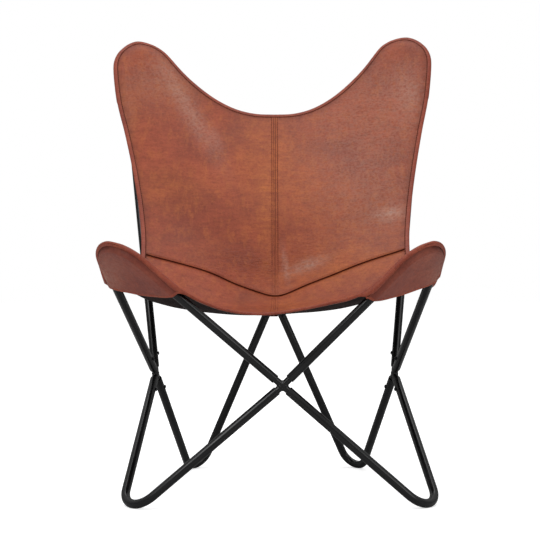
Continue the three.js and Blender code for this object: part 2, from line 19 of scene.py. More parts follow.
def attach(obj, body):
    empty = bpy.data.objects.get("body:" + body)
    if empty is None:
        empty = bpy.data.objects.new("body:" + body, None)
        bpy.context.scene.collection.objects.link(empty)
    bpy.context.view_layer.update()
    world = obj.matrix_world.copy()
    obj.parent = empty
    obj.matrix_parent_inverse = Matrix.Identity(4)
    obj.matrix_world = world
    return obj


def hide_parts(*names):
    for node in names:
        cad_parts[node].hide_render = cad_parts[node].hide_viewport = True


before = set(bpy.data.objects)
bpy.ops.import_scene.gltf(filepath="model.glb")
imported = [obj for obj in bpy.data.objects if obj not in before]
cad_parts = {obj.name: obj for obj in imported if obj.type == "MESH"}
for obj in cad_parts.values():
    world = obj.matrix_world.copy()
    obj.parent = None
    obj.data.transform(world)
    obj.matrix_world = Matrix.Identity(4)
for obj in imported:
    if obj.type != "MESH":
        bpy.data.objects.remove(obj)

log = logging.getLogger("butterfly_chair")

MM = 0.001
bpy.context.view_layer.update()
UP = np.array([0.0, 0.0, 1.0])


class Side(Enum):
    """The two sides of the chair, seen from its front."""

    LEFT = -1
    RIGHT = 1

    @property
    def word(self) -> str:
        """The side's name in a node."""
        return self.name.lower()


def vec(x: float, y: float, z: float) -> np.ndarray:
    """A point or direction in the chair's own millimetres."""
    return np.array([x, y, z], dtype=float)


def unit(vector: np.ndarray) -> np.ndarray:
    """One vector, or each of an array of them, at length one."""
    return vector / np.maximum(np.linalg.norm(vector, axis=-1, keepdims=True), 1e-12)


def lerp(start: np.ndarray | float, end: np.ndarray | float, share: np.ndarray | float) -> np.ndarray:
    """The value a share of the way from start to end."""
    return start + (end - start) * share


def smoothstep(value: np.ndarray, low: float, high: float) -> np.ndarray:
    """Rises smoothly from 0 at low to 1 at high."""
    share = np.clip((value - low) / (high - low), 0, 1)
    return share * share * (3 - 2 * share)


def spaced(points: np.ndarray, shares: np.ndarray) -> np.ndarray:
    """Points of a polyline at shares of its length.

    Args:
        points: The polyline, one row for each point.
        shares: Where along it the new points lie, from 0 to 1.

    Returns:
        One row for each share.
    """
    reach = np.concatenate([[0], np.cumsum(np.linalg.norm(np.diff(points, axis=0), axis=1))])
    return np.stack([np.interp(shares * reach[-1], reach, points[:, axis]) for axis in range(3)], axis=1)


def smooth_line(points: np.ndarray, steps: int) -> np.ndarray:
    """A smooth line through points, free of loops where they lie close together.

    Args:
        points: What the line runs through.
        steps: Short steps from one of them to the next.

    Returns:
        The line's points.
    """
    padded = np.vstack([2 * points[0] - points[1], points, 2 * points[-1] - points[-2]])
    line = [points[:1]]
    t = (np.arange(1, steps + 1) / steps)[:, None]
    for before, start, end, after in zip(padded, padded[1:], padded[2:], padded[3:]):
        first, middle, last = (np.linalg.norm(b - a) ** 0.5 for a, b in
                               ((before, start), (start, end), (end, after)))
        leave = (start - before) / first - (end - before) / (first + middle) + (end - start) / middle
        arrive = (end - start) / middle - (after - start) / (middle + last) + (after - end) / last
        leave, arrive = leave * middle, arrive * middle
        line.append(start + leave * t + (3 * (end - start) - 2 * leave - arrive) * t**2
                    + (2 * (start - end) + leave + arrive) * t**3)
    return np.vstack(line)


def place(points: np.ndarray, plan: "ChairPlan") -> np.ndarray:
    """Millimetres over the front cross as metres in the frame of the CAD."""
    return (points - vec(0, plan.cross_to_middle, 0)) * MM


@dataclass(frozen=True)
class Tip:
    """The rounded tip of a V of tube: its place on the centre line, and its bend."""

    x: float
    y: float
    z: float
    bend_radius: float


@dataclass(frozen=True)
class Pocket:
    """How far a corner's edge runs straight past the bend, and the seams of its pocket."""

    middle_straight: float
    side_straight: float
    middle_seam: float
    side_seam: float
    bow: float
    middle_turn: float = 1
    seams_lean: float = 0


@dataclass(frozen=True)
class ChairPlan:
    """The chair's driving sizes, in millimetres: those that its solids are made from."""

    cross_to_middle: float = 301.28
    tube_diameter: float = 16
    tube_wall: float = 1.5
    clearance: float = 0.3
    foot_flat: float = 0.5
    front_cross: tuple[float, float, float] = (8, 0, 217)
    back_cross: tuple[float, float, float] = (0, 418, 364)
    side_cross: tuple[float, float, float] = (233, 273, 218)
    front_foot: Tip = Tip(262, 20, 0, 46)
    rear_foot: Tip = Tip(167, 501, 0, 32)
    seat_corner: Tip = Tip(280, 10, 453, 58)
    back_corner: Tip = Tip(293, 611, 904, 40)
    feet_aside: float = 5
    seat_corners_aside: float = -12
    back_corners_lean: float = 5
    side_edges_aside: float = 6
    front_edge_lean: float = 4
    middle_aside: tuple[float, float, float] = (-10, 0, 4)
    front_leg_setback: float = 13
    rear_leg_setback: float = 23
    seat_arm_setback: float = 17
    back_arm_setback: float = 22
    side_setback: float = 15
    screw_distance: float = 42
    stub_beyond_screw: float = 12
    leather: float = 3.2
    seam_gap: float = 0.3
    seat_rim: float = 19
    seat_rim_spread: float = 5
    back_rim: float = 25.5
    back_rim_dent: float = 3.4
    back_dents_lean: float = 0.9
    back_turns_lean: float = 0.06
    front_edge: tuple[float, float] = (30, 341)
    seat_low: tuple[float, float] = (150, 339)
    crease: tuple[float, float] = (305, 368)
    back_middle: tuple[float, float] = (425, 545)
    top_edge: tuple[float, float] = (582, 757)
    side_sag: float = 120
    side_inset: float = 50
    crease_end_share: float = 0.47
    crease_lap: float = 12
    lap_gap: float = 0.2
    seat_pocket: Pocket = Pocket(95, 66, 174, 131, 14, seams_lean=7)
    back_pocket: Pocket = Pocket(0, 95, 150, 185, 24, middle_turn=0.76)
    pocket_hollow_share: float = 0.25
    pocket_hollow_reach: float = 48
    pocket_tip_share: float = 0.006
    rim_lift: float = 3.4
    middle_rounding: float = 0.18
    crease_bow: float = 0.72
    seat_bow: float = 3.2
    back_bow: float = 1.8
    front_bow: float = 2.0
    edge_fade: float = 3
    top_bow: float = 1.8
    strip_width: float = 16
    strip_thickness: float = 2
    strip_gap: float = 0.7

    @property
    def tube_radius(self) -> float:
        """Half of the tube's diameter."""
        return self.tube_diameter / 2

    @property
    def sheet_lift(self) -> float:
        """From a tube's centre line to the middle of the leather that lies on it."""
        return self.tube_radius + self.clearance + self.leather / 2


@dataclass
class VTube:
    """A V of bent tube: two straight arms from a rounded tip to the centres of two crosses."""

    plan: ChairPlan
    tip: np.ndarray
    bend_radius: float
    ends: tuple[np.ndarray, np.ndarray]
    on_floor: bool
    corner_passes: int = 80

    def __post_init__(self) -> None:
        """Finds the corner that both arms run to, which gives the tip its place."""
        self.tip = self.tip.copy()
        corner = self.tip - unit(sum(self.ends) / 2 - self.tip) * self.bend_radius
        for _ in range(self.corner_passes):
            first, second = (unit(end - corner) for end in self.ends)
            self.inward = unit(first + second)
            self.across = unit(first - second)
            self.half_angle = math.acos(self.inward @ first)
            if self.on_floor:
                rise = math.hypot(self.inward[2], self.across[2]) - self.inward[2]
                self.tip[2] = self.plan.tube_radius - self.plan.foot_flat + self.bend_radius * rise
            corner = self.tip - self.inward * self.bend_radius * (1 / math.sin(self.half_angle) - 1)
        self.centre = self.tip + self.inward * self.bend_radius
        self.half_turn = math.pi / 2 - self.half_angle
        cos, sin = math.cos(self.half_angle), math.sin(self.half_angle)
        self.directions = [self.inward * cos + self.across * sign * sin for sign in (1, -1)]
        self.outwards = [self.across * sign * cos - self.inward * sin for sign in (1, -1)]
        self.normal = unit(np.cross(*self.directions))

    def on_bend(self, share: np.ndarray | float, beyond: float) -> np.ndarray:
        """Points on the bend, from its first arm to its second.

        Args:
            share: How far along the bend.
            beyond: How far outside the centre line.

        Returns:
            The points, one for each share.
        """
        angle = self.half_turn * (1 - 2 * np.asarray(share, dtype=float))[..., None]
        return self.centre + (np.sin(angle) * self.across - np.cos(angle) * self.inward) * (
            self.bend_radius + beyond)

    def beside_arm(self, arm: int, length: float, beyond: float) -> np.ndarray:
        """A point beside an arm, a length past the end of the bend."""
        return self.centre + self.outwards[arm] * (self.bend_radius + beyond) + self.directions[arm] * length

    def arm_length(self, arm: int) -> float:
        """How long an arm is between the bend and its cross."""
        return float((self.ends[arm] - self.beside_arm(arm, 0, 0)) @ self.directions[arm])

    def distance(self, points: np.ndarray) -> np.ndarray:
        """The distance from each point to the tube's centre line.

        Args:
            points: Points, in millimetres.

        Returns:
            A distance for each of them.
        """
        flat = points - self.centre
        angle = np.arctan2(flat @ self.across, -(flat @ self.inward))
        share = np.clip((1 - angle / self.half_turn) / 2, 0, 1)
        nearest = np.linalg.norm(points - self.on_bend(share, 0), axis=-1)
        for arm, direction in enumerate(self.directions):
            start = self.beside_arm(arm, 0, 0)
            reach = np.clip((points - start) @ direction, 0, self.arm_length(arm))
            off = points - start - reach[..., None] * direction
            nearest = np.minimum(nearest, np.linalg.norm(off, axis=-1))
        return nearest

    @property
    def sitter_normal(self) -> np.ndarray:
        """The side of the V's plane on which the sitter is."""
        return self.normal if self.normal[2] > 0 else -self.normal


@dataclass(frozen=True)
class TubeKind:
    """One of the four kinds of V: its node's name, its tip and the cross of its first arm."""

    label: str
    tip: Tip
    aside: float
    on_floor: bool
    cross: str
    setback: float
    lean: float = 0


@dataclass
class FrameMember:
    """One tube of the frame, with the names and the setbacks that its node has."""

    name: str
    kind: TubeKind
    side: Side
    shape: VTube
    setbacks: tuple[float, float]


@dataclass
class Joint:
    """One screw: through the inner face of a tube's end into the stub of its cross."""

    name: str
    cross: str
    outwards: np.ndarray
    axis: np.ndarray
    seat: np.ndarray


def colour(hex_value: str) -> tuple[float, float, float, float]:
    """An sRGB hex colour as the linear one that a shader takes.

    Args:
        hex_value: Such as "#A0604A".

    Returns:
        Red, green, blue and alpha.
    """
    parts = [int(hex_value[i:i + 2], 16) / 255 for i in (1, 3, 5)]
    linear = [part / 12.92 if part <= 0.04045 else ((part + 0.055) / 1.055) ** 2.4 for part in parts]
    return (*linear, 1.0)


def per_metre(size_mm: float) -> float:
    """The scale of a pattern whose features are a real size."""
    return 1 / (size_mm * MM)


def add_node(tree: NodeTree, kind: str, inputs: dict | None = None, **settings) -> Node:
    """Adds one node with its settings and links.

    Args:
        tree: The tree that it goes in.
        kind: The node's type in Blender, such as "ShaderNodeMix".
        inputs: A value, or the socket to link, for each input by name or number.
        **settings: The node's own properties.

    Returns:
        The node.
    """
    node = tree.nodes.new(kind)
    for name, value in settings.items():
        setattr(node, name, value)
    for key, value in (inputs or {}).items():
        if isinstance(value, NodeSocket):
            tree.links.new(value, node.inputs[key])
        else:
            node.inputs[key].default_value = value
    return node


def new_material(name: str) -> tuple[Material, NodeTree]:
    """An empty node-based material.

    Args:
        name: What the finish is and how it was made.

    Returns:
        The material and its tree of nodes.
    """
    material = bpy.data.materials.new(name)
    material.use_nodes = True
    material.node_tree.nodes.clear()
    return material, material.node_tree


@dataclass(frozen=True)
class Finish:
    """What each finish of the chair has: a name, and one shader that its own patterns feed."""

    name: str

    def material(self) -> Material:
        """Makes the finish.

        Returns:
            The material.
        """
        material, tree = new_material(self.name)
        spot = add_node(tree, "ShaderNodeTexCoord").outputs["Object"]
        shader = add_node(tree, "ShaderNodeBsdfPrincipled", self.surface(tree, spot))
        add_node(tree, "ShaderNodeOutputMaterial", {"Surface": shader.outputs[0]})
        return material

    def surface(self, tree: NodeTree, spot: NodeSocket) -> dict:
        """The shader's inputs; each finish gives its own."""
        raise NotImplementedError

    def layered(self, tree: NodeTree, base: str, layers: Sequence[tuple]) -> NodeSocket:
        """Lays colours over one another, each where its pattern is strong.

        Args:
            tree: The material's nodes.
            base: The lowest colour, in hex.
            layers: For each colour above it, its pattern, the pattern's values where it is faintest and
                strongest, how much it covers at each of the two, and the colour in hex.

        Returns:
            The colour that is seen.
        """
        seen = colour(base)
        for *pattern, hex_value in layers:
            share = add_node(tree, "ShaderNodeMapRange", dict(enumerate(pattern))).outputs[0]
            seen = add_node(tree, "ShaderNodeMix", {0: share, 6: seen, 7: colour(hex_value)},
                            data_type="RGBA").outputs[2]
        return seen


@dataclass(frozen=True)
class Leather(Finish):
    """Vegetable-tanned cowhide, drum-dyed, rubbed by hand and waxed.

    The dye takes unevenly, which gives cloudy tan and red-brown patches. Pale patches with a fine crackle
    are painted sheen and highlight, and darker bands beside the hems, seams and crease are painted shade.
    The grain is a fine pebble with a soft sheen.
    """

    name: str = "Cowhide, vegetable-tanned, hand-rubbed cognac"
    tan: str = "#A35036"
    deep: str = "#863C28"
    warm: str = "#B96733"
    # A pale colour for painted sheen and highlight.
    bloom: str = "#B8907F"
    # A dark red-brown for rubbed marks and flecks in the dye, and for painted shade.
    burnt: str = "#5A2418"
    cloud_mm: float = 120
    streak_mm: float = 26
    brush_mm: float = 9
    fleck_mm: float = 5
    wrinkle_mm: float = 12
    vein_mm: float = 9
    vein_bend: float = 0.012
    # The real pebble is about 0.8 mm wide and would not show, so it is drawn twice as coarse.
    grain_mm: float = 1.6
    grain_depth_mm: float = 0.16
    wrinkle_depth_mm: float = 1.6
    roughness: tuple[float, float] = (0.46, 0.6)
    sheen: float = 0.24
    pucker: bool = False
    pucker_depth_mm: float = 0.25
    stitch_pitch_mm: float = 5

    def surface(self, tree: NodeTree, spot: NodeSocket) -> dict:
        """The dye, the polish and the grain.

        Args:
            tree: The material's nodes.
            spot: The place on the chair.

        Returns:
            The shader's inputs.
        """
        dye, cloud = self.dyed(tree, spot)
        dull, duller = self.roughness
        roughness = add_node(tree, "ShaderNodeMapRange", {0: cloud, 1: 0.35, 2: 0.65, 3: dull, 4: duller})
        return {"Base Color": dye, "Roughness": roughness.outputs[0], "Specular IOR Level": self.sheen,
                "Normal": self.relief(tree, spot)}

    def brushed(self, tree: NodeTree, spot: NodeSocket, size_mm: float,
                stretch: tuple[float, float, float]) -> NodeSocket:
        """Marks of a rubbing cloth, drawn out along one direction.

        Args:
            tree: The material's nodes.
            spot: The place on the chair.
            size_mm: How far apart the marks are.
            stretch: How much finer they are along each axis.

        Returns:
            The marks' strength.
        """
        drawn = add_node(tree, "ShaderNodeMapping", {"Vector": spot, "Scale": stretch}).outputs[0]
        return add_node(tree, "ShaderNodeTexNoise", {
            "Vector": drawn, "Scale": per_metre(size_mm), "Detail": 6, "Roughness": 0.72,
            "Distortion": 0.3}).outputs[0]

    def masked(self, tree: NodeTree, share: NodeSocket, pattern: tuple) -> NodeSocket:
        """A share of something, stronger or weaker with a pattern.

        Args:
            tree: The material's nodes.
            share: The share.
            pattern: The pattern, its values where it is faintest and strongest, and how much of the share is
                left at each of the two.

        Returns:
            The share that is left.
        """
        left = add_node(tree, "ShaderNodeMapRange", dict(enumerate(pattern))).outputs[0]
        return add_node(tree, "ShaderNodeMath", {0: share, 1: left}, operation="MULTIPLY").outputs[0]

    def dyed(self, tree: NodeTree, spot: NodeSocket) -> tuple[NodeSocket, NodeSocket]:
        """The dye's colour at each place, with painted sheen and painted shade laid over it.

        Args:
            tree: The material's nodes.
            spot: The place on the chair.

        Returns:
            The colour, and the clouds that the polish follows.
        """
        cloud = add_node(tree, "ShaderNodeTexNoise", {
            "Vector": spot, "Scale": per_metre(self.cloud_mm), "Detail": 6, "Roughness": 0.62,
            "Distortion": 0.6}).outputs[0]
        level = self.brushed(tree, spot, self.streak_mm, (0.6, 1, 1.7))
        upright = self.brushed(tree, spot, self.streak_mm, (1.9, 1, 0.5))
        brush = self.brushed(tree, spot, self.brush_mm, (0.55, 1, 1.7))
        fleck = self.brushed(tree, spot, self.fleck_mm, (1, 1, 1))
        # The warmth attribute is the dye's own tone; the other two are painted sheen and painted shade.
        warmth, painted_sheen_share, shade = (add_node(tree, "ShaderNodeAttribute", attribute_name=name).outputs["Fac"]
                               for name in ("warmth", "bloom", "burnish"))
        wander = add_node(tree, "ShaderNodeTexNoise", {
            "Vector": spot, "Scale": per_metre(self.vein_mm), "Detail": 3}).outputs[1]
        bent = add_node(tree, "ShaderNodeMix", {0: self.vein_bend, 6: spot, 7: wander},
                        data_type="RGBA").outputs[2]
        vein = add_node(tree, "ShaderNodeTexVoronoi", {
            "Vector": bent, "Scale": per_metre(self.vein_mm)}, feature="DISTANCE_TO_EDGE").outputs[0]
        warmed = self.masked(tree, warmth, (level, 0.34, 0.62, 0.9, 0.25))
        # Painted sheen, weaker where the rubbing marks are faint, and broken into a fine crackle by the
        # veins.
        painted_sheen_rubbed = self.masked(tree, painted_sheen_share, (brush, 0.34, 0.62, 0.3, 1))
        veined = self.masked(tree, painted_sheen_rubbed, (vein, 0, 0.3, 1.5, 0.75))
        # Of these layers, the pale sheen and the last, dark one are painted light; the rest are the dye's
        # own.
        return self.layered(tree, self.deep, (
            (cloud, 0.38, 0.62, 0, 1, self.tan),
            (level, 0.42, 0.66, 0, 0.5, self.deep),
            (upright, 0.48, 0.68, 0, 0.4, self.warm),
            (warmed, 0, 1, 0, 1, self.warm),
            (veined, 0, 1, 0, 1, self.bloom),
            (brush, 0.46, 0.7, 0, 0.28, self.burnt),
            (fleck, 0.46, 0.7, 0, 0.4, self.burnt),
            (shade, 0, 1, 0, 1, self.burnt))), cloud

    def relief(self, tree: NodeTree, spot: NodeSocket) -> NodeSocket:
        """The grain's pebble over soft wrinkles, and the pucker of a stitched edge.

        Args:
            tree: The material's nodes.
            spot: The place on the chair.

        Returns:
            The normal.
        """
        grain = add_node(tree, "ShaderNodeTexVoronoi", {
            "Vector": spot, "Scale": per_metre(self.grain_mm), "Smoothness": 0.7},
            feature="SMOOTH_F1").outputs[0]
        crackle = self.brushed(tree, spot, self.wrinkle_mm, (0.5, 1, 1.8))
        crumple = add_node(tree, "ShaderNodeAttribute", attribute_name="crumple").outputs["Fac"]
        creases = self.masked(tree, crackle, (crumple, 0, 1, 0.5, 3))
        normal = add_node(tree, "ShaderNodeBump", {
            "Height": creases, "Strength": 0.8, "Distance": self.wrinkle_depth_mm * MM}).outputs[0]
        if self.pucker:
            along = add_node(tree, "ShaderNodeUVMap").outputs[0]
            part = add_node(tree, "ShaderNodeSeparateXYZ", {0: along}).outputs[0]
            turn = add_node(tree, "ShaderNodeMath", {
                0: part, 1: 2 * math.pi * per_metre(self.stitch_pitch_mm)}, operation="MULTIPLY").outputs[0]
            wave = add_node(tree, "ShaderNodeMath", {0: turn}, operation="SINE").outputs[0]
            normal = add_node(tree, "ShaderNodeBump", {
                "Height": wave, "Strength": 0.35, "Distance": self.pucker_depth_mm * MM,
                "Normal": normal}).outputs[0]
        return add_node(tree, "ShaderNodeBump", {
            "Height": grain, "Strength": 0.55, "Distance": self.grain_depth_mm * MM,
            "Normal": normal}).outputs[0]


@dataclass(frozen=True)
class Suede(Finish):
    """The flesh side of the same hide, dyed dark and left unfinished: a short matt nap in soft patches."""

    name: str = "Cowhide flesh side, dyed dark and brushed"
    # The flesh side's dark dye, made darker still as painted shade, since it lies in shadow under the sling.
    dark: str = "#221A1A"
    light: str = "#322725"
    # The real fibres are a fifth of a millimetre thick, so tufts of them are drawn.
    fibre_mm: float = 1.2
    patch_mm: float = 40
    nap_depth_mm: float = 0.3

    def surface(self, tree: NodeTree, spot: NodeSocket) -> dict:
        """The dye and the nap.

        Args:
            tree: The material's nodes.
            spot: The place on the chair.

        Returns:
            The shader's inputs.
        """
        patch = add_node(tree, "ShaderNodeTexNoise", {
            "Vector": spot, "Scale": per_metre(self.patch_mm), "Detail": 4}).outputs[0]
        fibre = add_node(tree, "ShaderNodeTexNoise", {
            "Vector": spot, "Scale": per_metre(self.fibre_mm), "Detail": 5, "Roughness": 0.8}).outputs[0]
        nap = self.layered(tree, self.dark, ((patch, 0.35, 0.65, 0, 1, self.light),
                                             (fibre, 0.4, 0.65, 0, 0.35, self.dark)))
        relief = add_node(tree, "ShaderNodeBump", {
            "Height": fibre, "Strength": 0.7, "Distance": self.nap_depth_mm * MM}).outputs[0]
        return {"Base Color": nap, "Roughness": 0.92, "Specular IOR Level": 0.1, "Normal": relief}


@dataclass(frozen=True)
class CutEdge(Finish):
    """Leather cut, dyed and burnished with wax: a dark, slightly glossy edge."""

    name: str = "Cowhide edge, dyed and burnished"
    dark: str = "#3E1A12"
    light: str = "#5A2A1D"
    fibre_mm: float = 3
    fibre_depth_mm: float = 0.2

    def surface(self, tree: NodeTree, spot: NodeSocket) -> dict:
        """The dye and the pressed fibres.

        Args:
            tree: The material's nodes.
            spot: The place on the chair.

        Returns:
            The shader's inputs.
        """
        fibre = add_node(tree, "ShaderNodeTexNoise", {
            "Vector": spot, "Scale": per_metre(self.fibre_mm), "Detail": 4}).outputs[0]
        dye = self.layered(tree, self.dark, ((fibre, 0.35, 0.65, 0, 1, self.light),))
        relief = add_node(tree, "ShaderNodeBump", {
            "Height": fibre, "Strength": 0.4, "Distance": self.fibre_depth_mm * MM}).outputs[0]
        return {"Base Color": dye, "Roughness": 0.65, "Specular IOR Level": 0.12, "Normal": relief}


@dataclass(frozen=True)
class Thread(Finish):
    """Bonded polyester thread, waxed: three twisted plies with a faint shine."""

    name: str = "Bonded polyester thread, waxed, red-brown"
    dye: str = "#70372A"
    ply: str = "#94503A"
    # A real ply is about 0.3 mm thick and would not show, so it is drawn twice as coarse.
    ply_mm: float = 0.6

    def surface(self, tree: NodeTree, spot: NodeSocket) -> dict:
        """The twist of the plies.

        Args:
            tree: The material's nodes.
            spot: The place on the chair.

        Returns:
            The shader's inputs.
        """
        twist = add_node(tree, "ShaderNodeTexWave", {
            "Vector": spot, "Scale": per_metre(self.ply_mm) / (2 * math.pi), "Distortion": 0.4},
            bands_direction="DIAGONAL").outputs[1]
        return {"Base Color": self.layered(tree, self.dye, ((twist, 0, 1, 0, 1, self.ply),)),
                "Roughness": 0.7, "Specular IOR Level": 0.15}


@dataclass(frozen=True)
class PowderCoat(Finish):
    """Mild steel tube, bent cold and powder-coated satin black: a fine orange peel under a soft gloss."""

    name: str = "Mild steel, satin black powder coat"
    black: str = "#0A0A0B"
    worn: str = "#101012"
    # The real orange peel is about half as wide, and is drawn coarser so that it shows at all.
    peel_mm: float = 1.4
    peel_depth_mm: float = 0.08
    handled_mm: float = 60
    roughness: tuple[float, float] = (0.2, 0.28)

    def surface(self, tree: NodeTree, spot: NodeSocket) -> dict:
        """The coat, dulled where hands take hold, and its peel.

        Args:
            tree: The material's nodes.
            spot: The place on the chair.

        Returns:
            The shader's inputs.
        """
        peel = add_node(tree, "ShaderNodeTexNoise", {
            "Vector": spot, "Scale": per_metre(self.peel_mm), "Detail": 2, "Roughness": 0.5}).outputs[0]
        handled = add_node(tree, "ShaderNodeTexNoise", {
            "Vector": spot, "Scale": per_metre(self.handled_mm), "Detail": 4}).outputs[0]
        relief = add_node(tree, "ShaderNodeBump", {
            "Height": peel, "Strength": 0.25, "Distance": self.peel_depth_mm * MM}).outputs[0]
        gloss, dull = self.roughness
        roughness = add_node(tree, "ShaderNodeMapRange", {0: handled, 1: 0.35, 2: 0.65, 3: gloss, 4: dull})
        return {"Base Color": self.layered(tree, self.black, ((handled, 0.45, 0.7, 0, 1, self.worn),)),
                "Roughness": roughness.outputs[0], "IOR": 1.5, "Normal": relief}


@dataclass(frozen=True)
class BlackedSteel(Finish):
    """Steel screws, turned and blackened in hot oxide: a dark metal with a dull shine."""

    name: str = "Steel, turned and black-oxided"
    dark: str = "#2A2A2C"
    light: str = "#3C3C3F"
    tooling_mm: float = 0.8

    def surface(self, tree: NodeTree, spot: NodeSocket) -> dict:
        """The oxide over the marks of the tool.

        Args:
            tree: The material's nodes.
            spot: The place on the chair.

        Returns:
            The shader's inputs.
        """
        tooling = add_node(tree, "ShaderNodeTexNoise", {
            "Vector": spot, "Scale": per_metre(self.tooling_mm), "Detail": 3}).outputs[0]
        roughness = add_node(tree, "ShaderNodeMapRange", {0: tooling, 1: 0.3, 2: 0.7, 3: 0.3, 4: 0.45})
        return {"Base Color": self.layered(tree, self.dark, ((tooling, 0, 1, 0, 1, self.light),)),
                "Metallic": 0.8, "Roughness": roughness.outputs[0]}


class Finishes:
    """The chair's finishes, each made once."""

    def __init__(self) -> None:
        """Makes the materials."""
        self.leather = Leather().material()
        # The pocket face is a darker copy of the leather, as painted shade: the pockets face down, away from
        # the light.
        self.pocket = Leather(name="Cowhide, vegetable-tanned, pocket face", tan="#8F4A3A", deep="#76382E",
                              warm="#9C523A", roughness=(0.44, 0.56)).material()
        self.hem = Leather(name="Cowhide, vegetable-tanned, turned hem", tan="#9C4C38", deep="#853C2C",
                           warm="#AA5A38", pucker=True, roughness=(0.4, 0.52)).material()
        self.suede, self.edge, self.thread, self.coat, self.screw = (
            kind().material() for kind in (Suede, CutEdge, Thread, PowderCoat, BlackedSteel))


def piece_of(bm: BMesh, name: str, materials: Sequence[Material],
             nodes: Iterable[str] = ()) -> Object:
    """Turns a bmesh into a piece of the chair that rides on the root body.

    Args:
        bm: The mesh, in metres where it stays; it is freed.
        name: The piece's name.
        materials: Its finishes, by material index.
        nodes: The nodes that it stands for.

    Returns:
        The piece.
    """
    mesh = bpy.data.meshes.new(name)
    bm.to_mesh(mesh)
    bm.free()
    mesh.shade_smooth()
    for material in materials:
        mesh.materials.append(material)
    piece = bpy.data.objects.new(name, mesh)
    bpy.context.scene.collection.objects.link(piece)
    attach(piece, "root")
    if nodes:
        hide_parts(*nodes)
    log.info("%s: %d faces", name, len(mesh.polygons))
    return piece


def add_modifier(piece: Object, kind: str, **settings) -> Modifier:
    """Adds a modifier with its settings to a piece.

    Args:
        piece: The piece.
        kind: The modifier's type in Blender, which also names it.
        **settings: The modifier's own properties.

    Returns:
        The modifier.
    """
    modifier = piece.modifiers.new(kind.title(), kind)
    for name, value in settings.items():
        setattr(modifier, name, value)
    return modifier


def turn_to(direction: np.ndarray, origin: np.ndarray, sideways: np.ndarray | None = None) -> Matrix:
    """A placing whose Z runs along a direction.

    Args:
        direction: Where Z points.
        origin: The placing's zero, in metres.
        sideways: Where X points, as nearly as it can.

    Returns:
        The placing.
    """
    ahead = Vector(direction).normalized()
    hint = Vector(sideways) if sideways is not None else ahead.orthogonal()
    aside = (hint - ahead * hint.dot(ahead)).normalized()
    rows = Matrix((aside, ahead.cross(aside), ahead)).transposed().to_4x4()
    return Matrix.Translation(Vector(origin)) @ rows


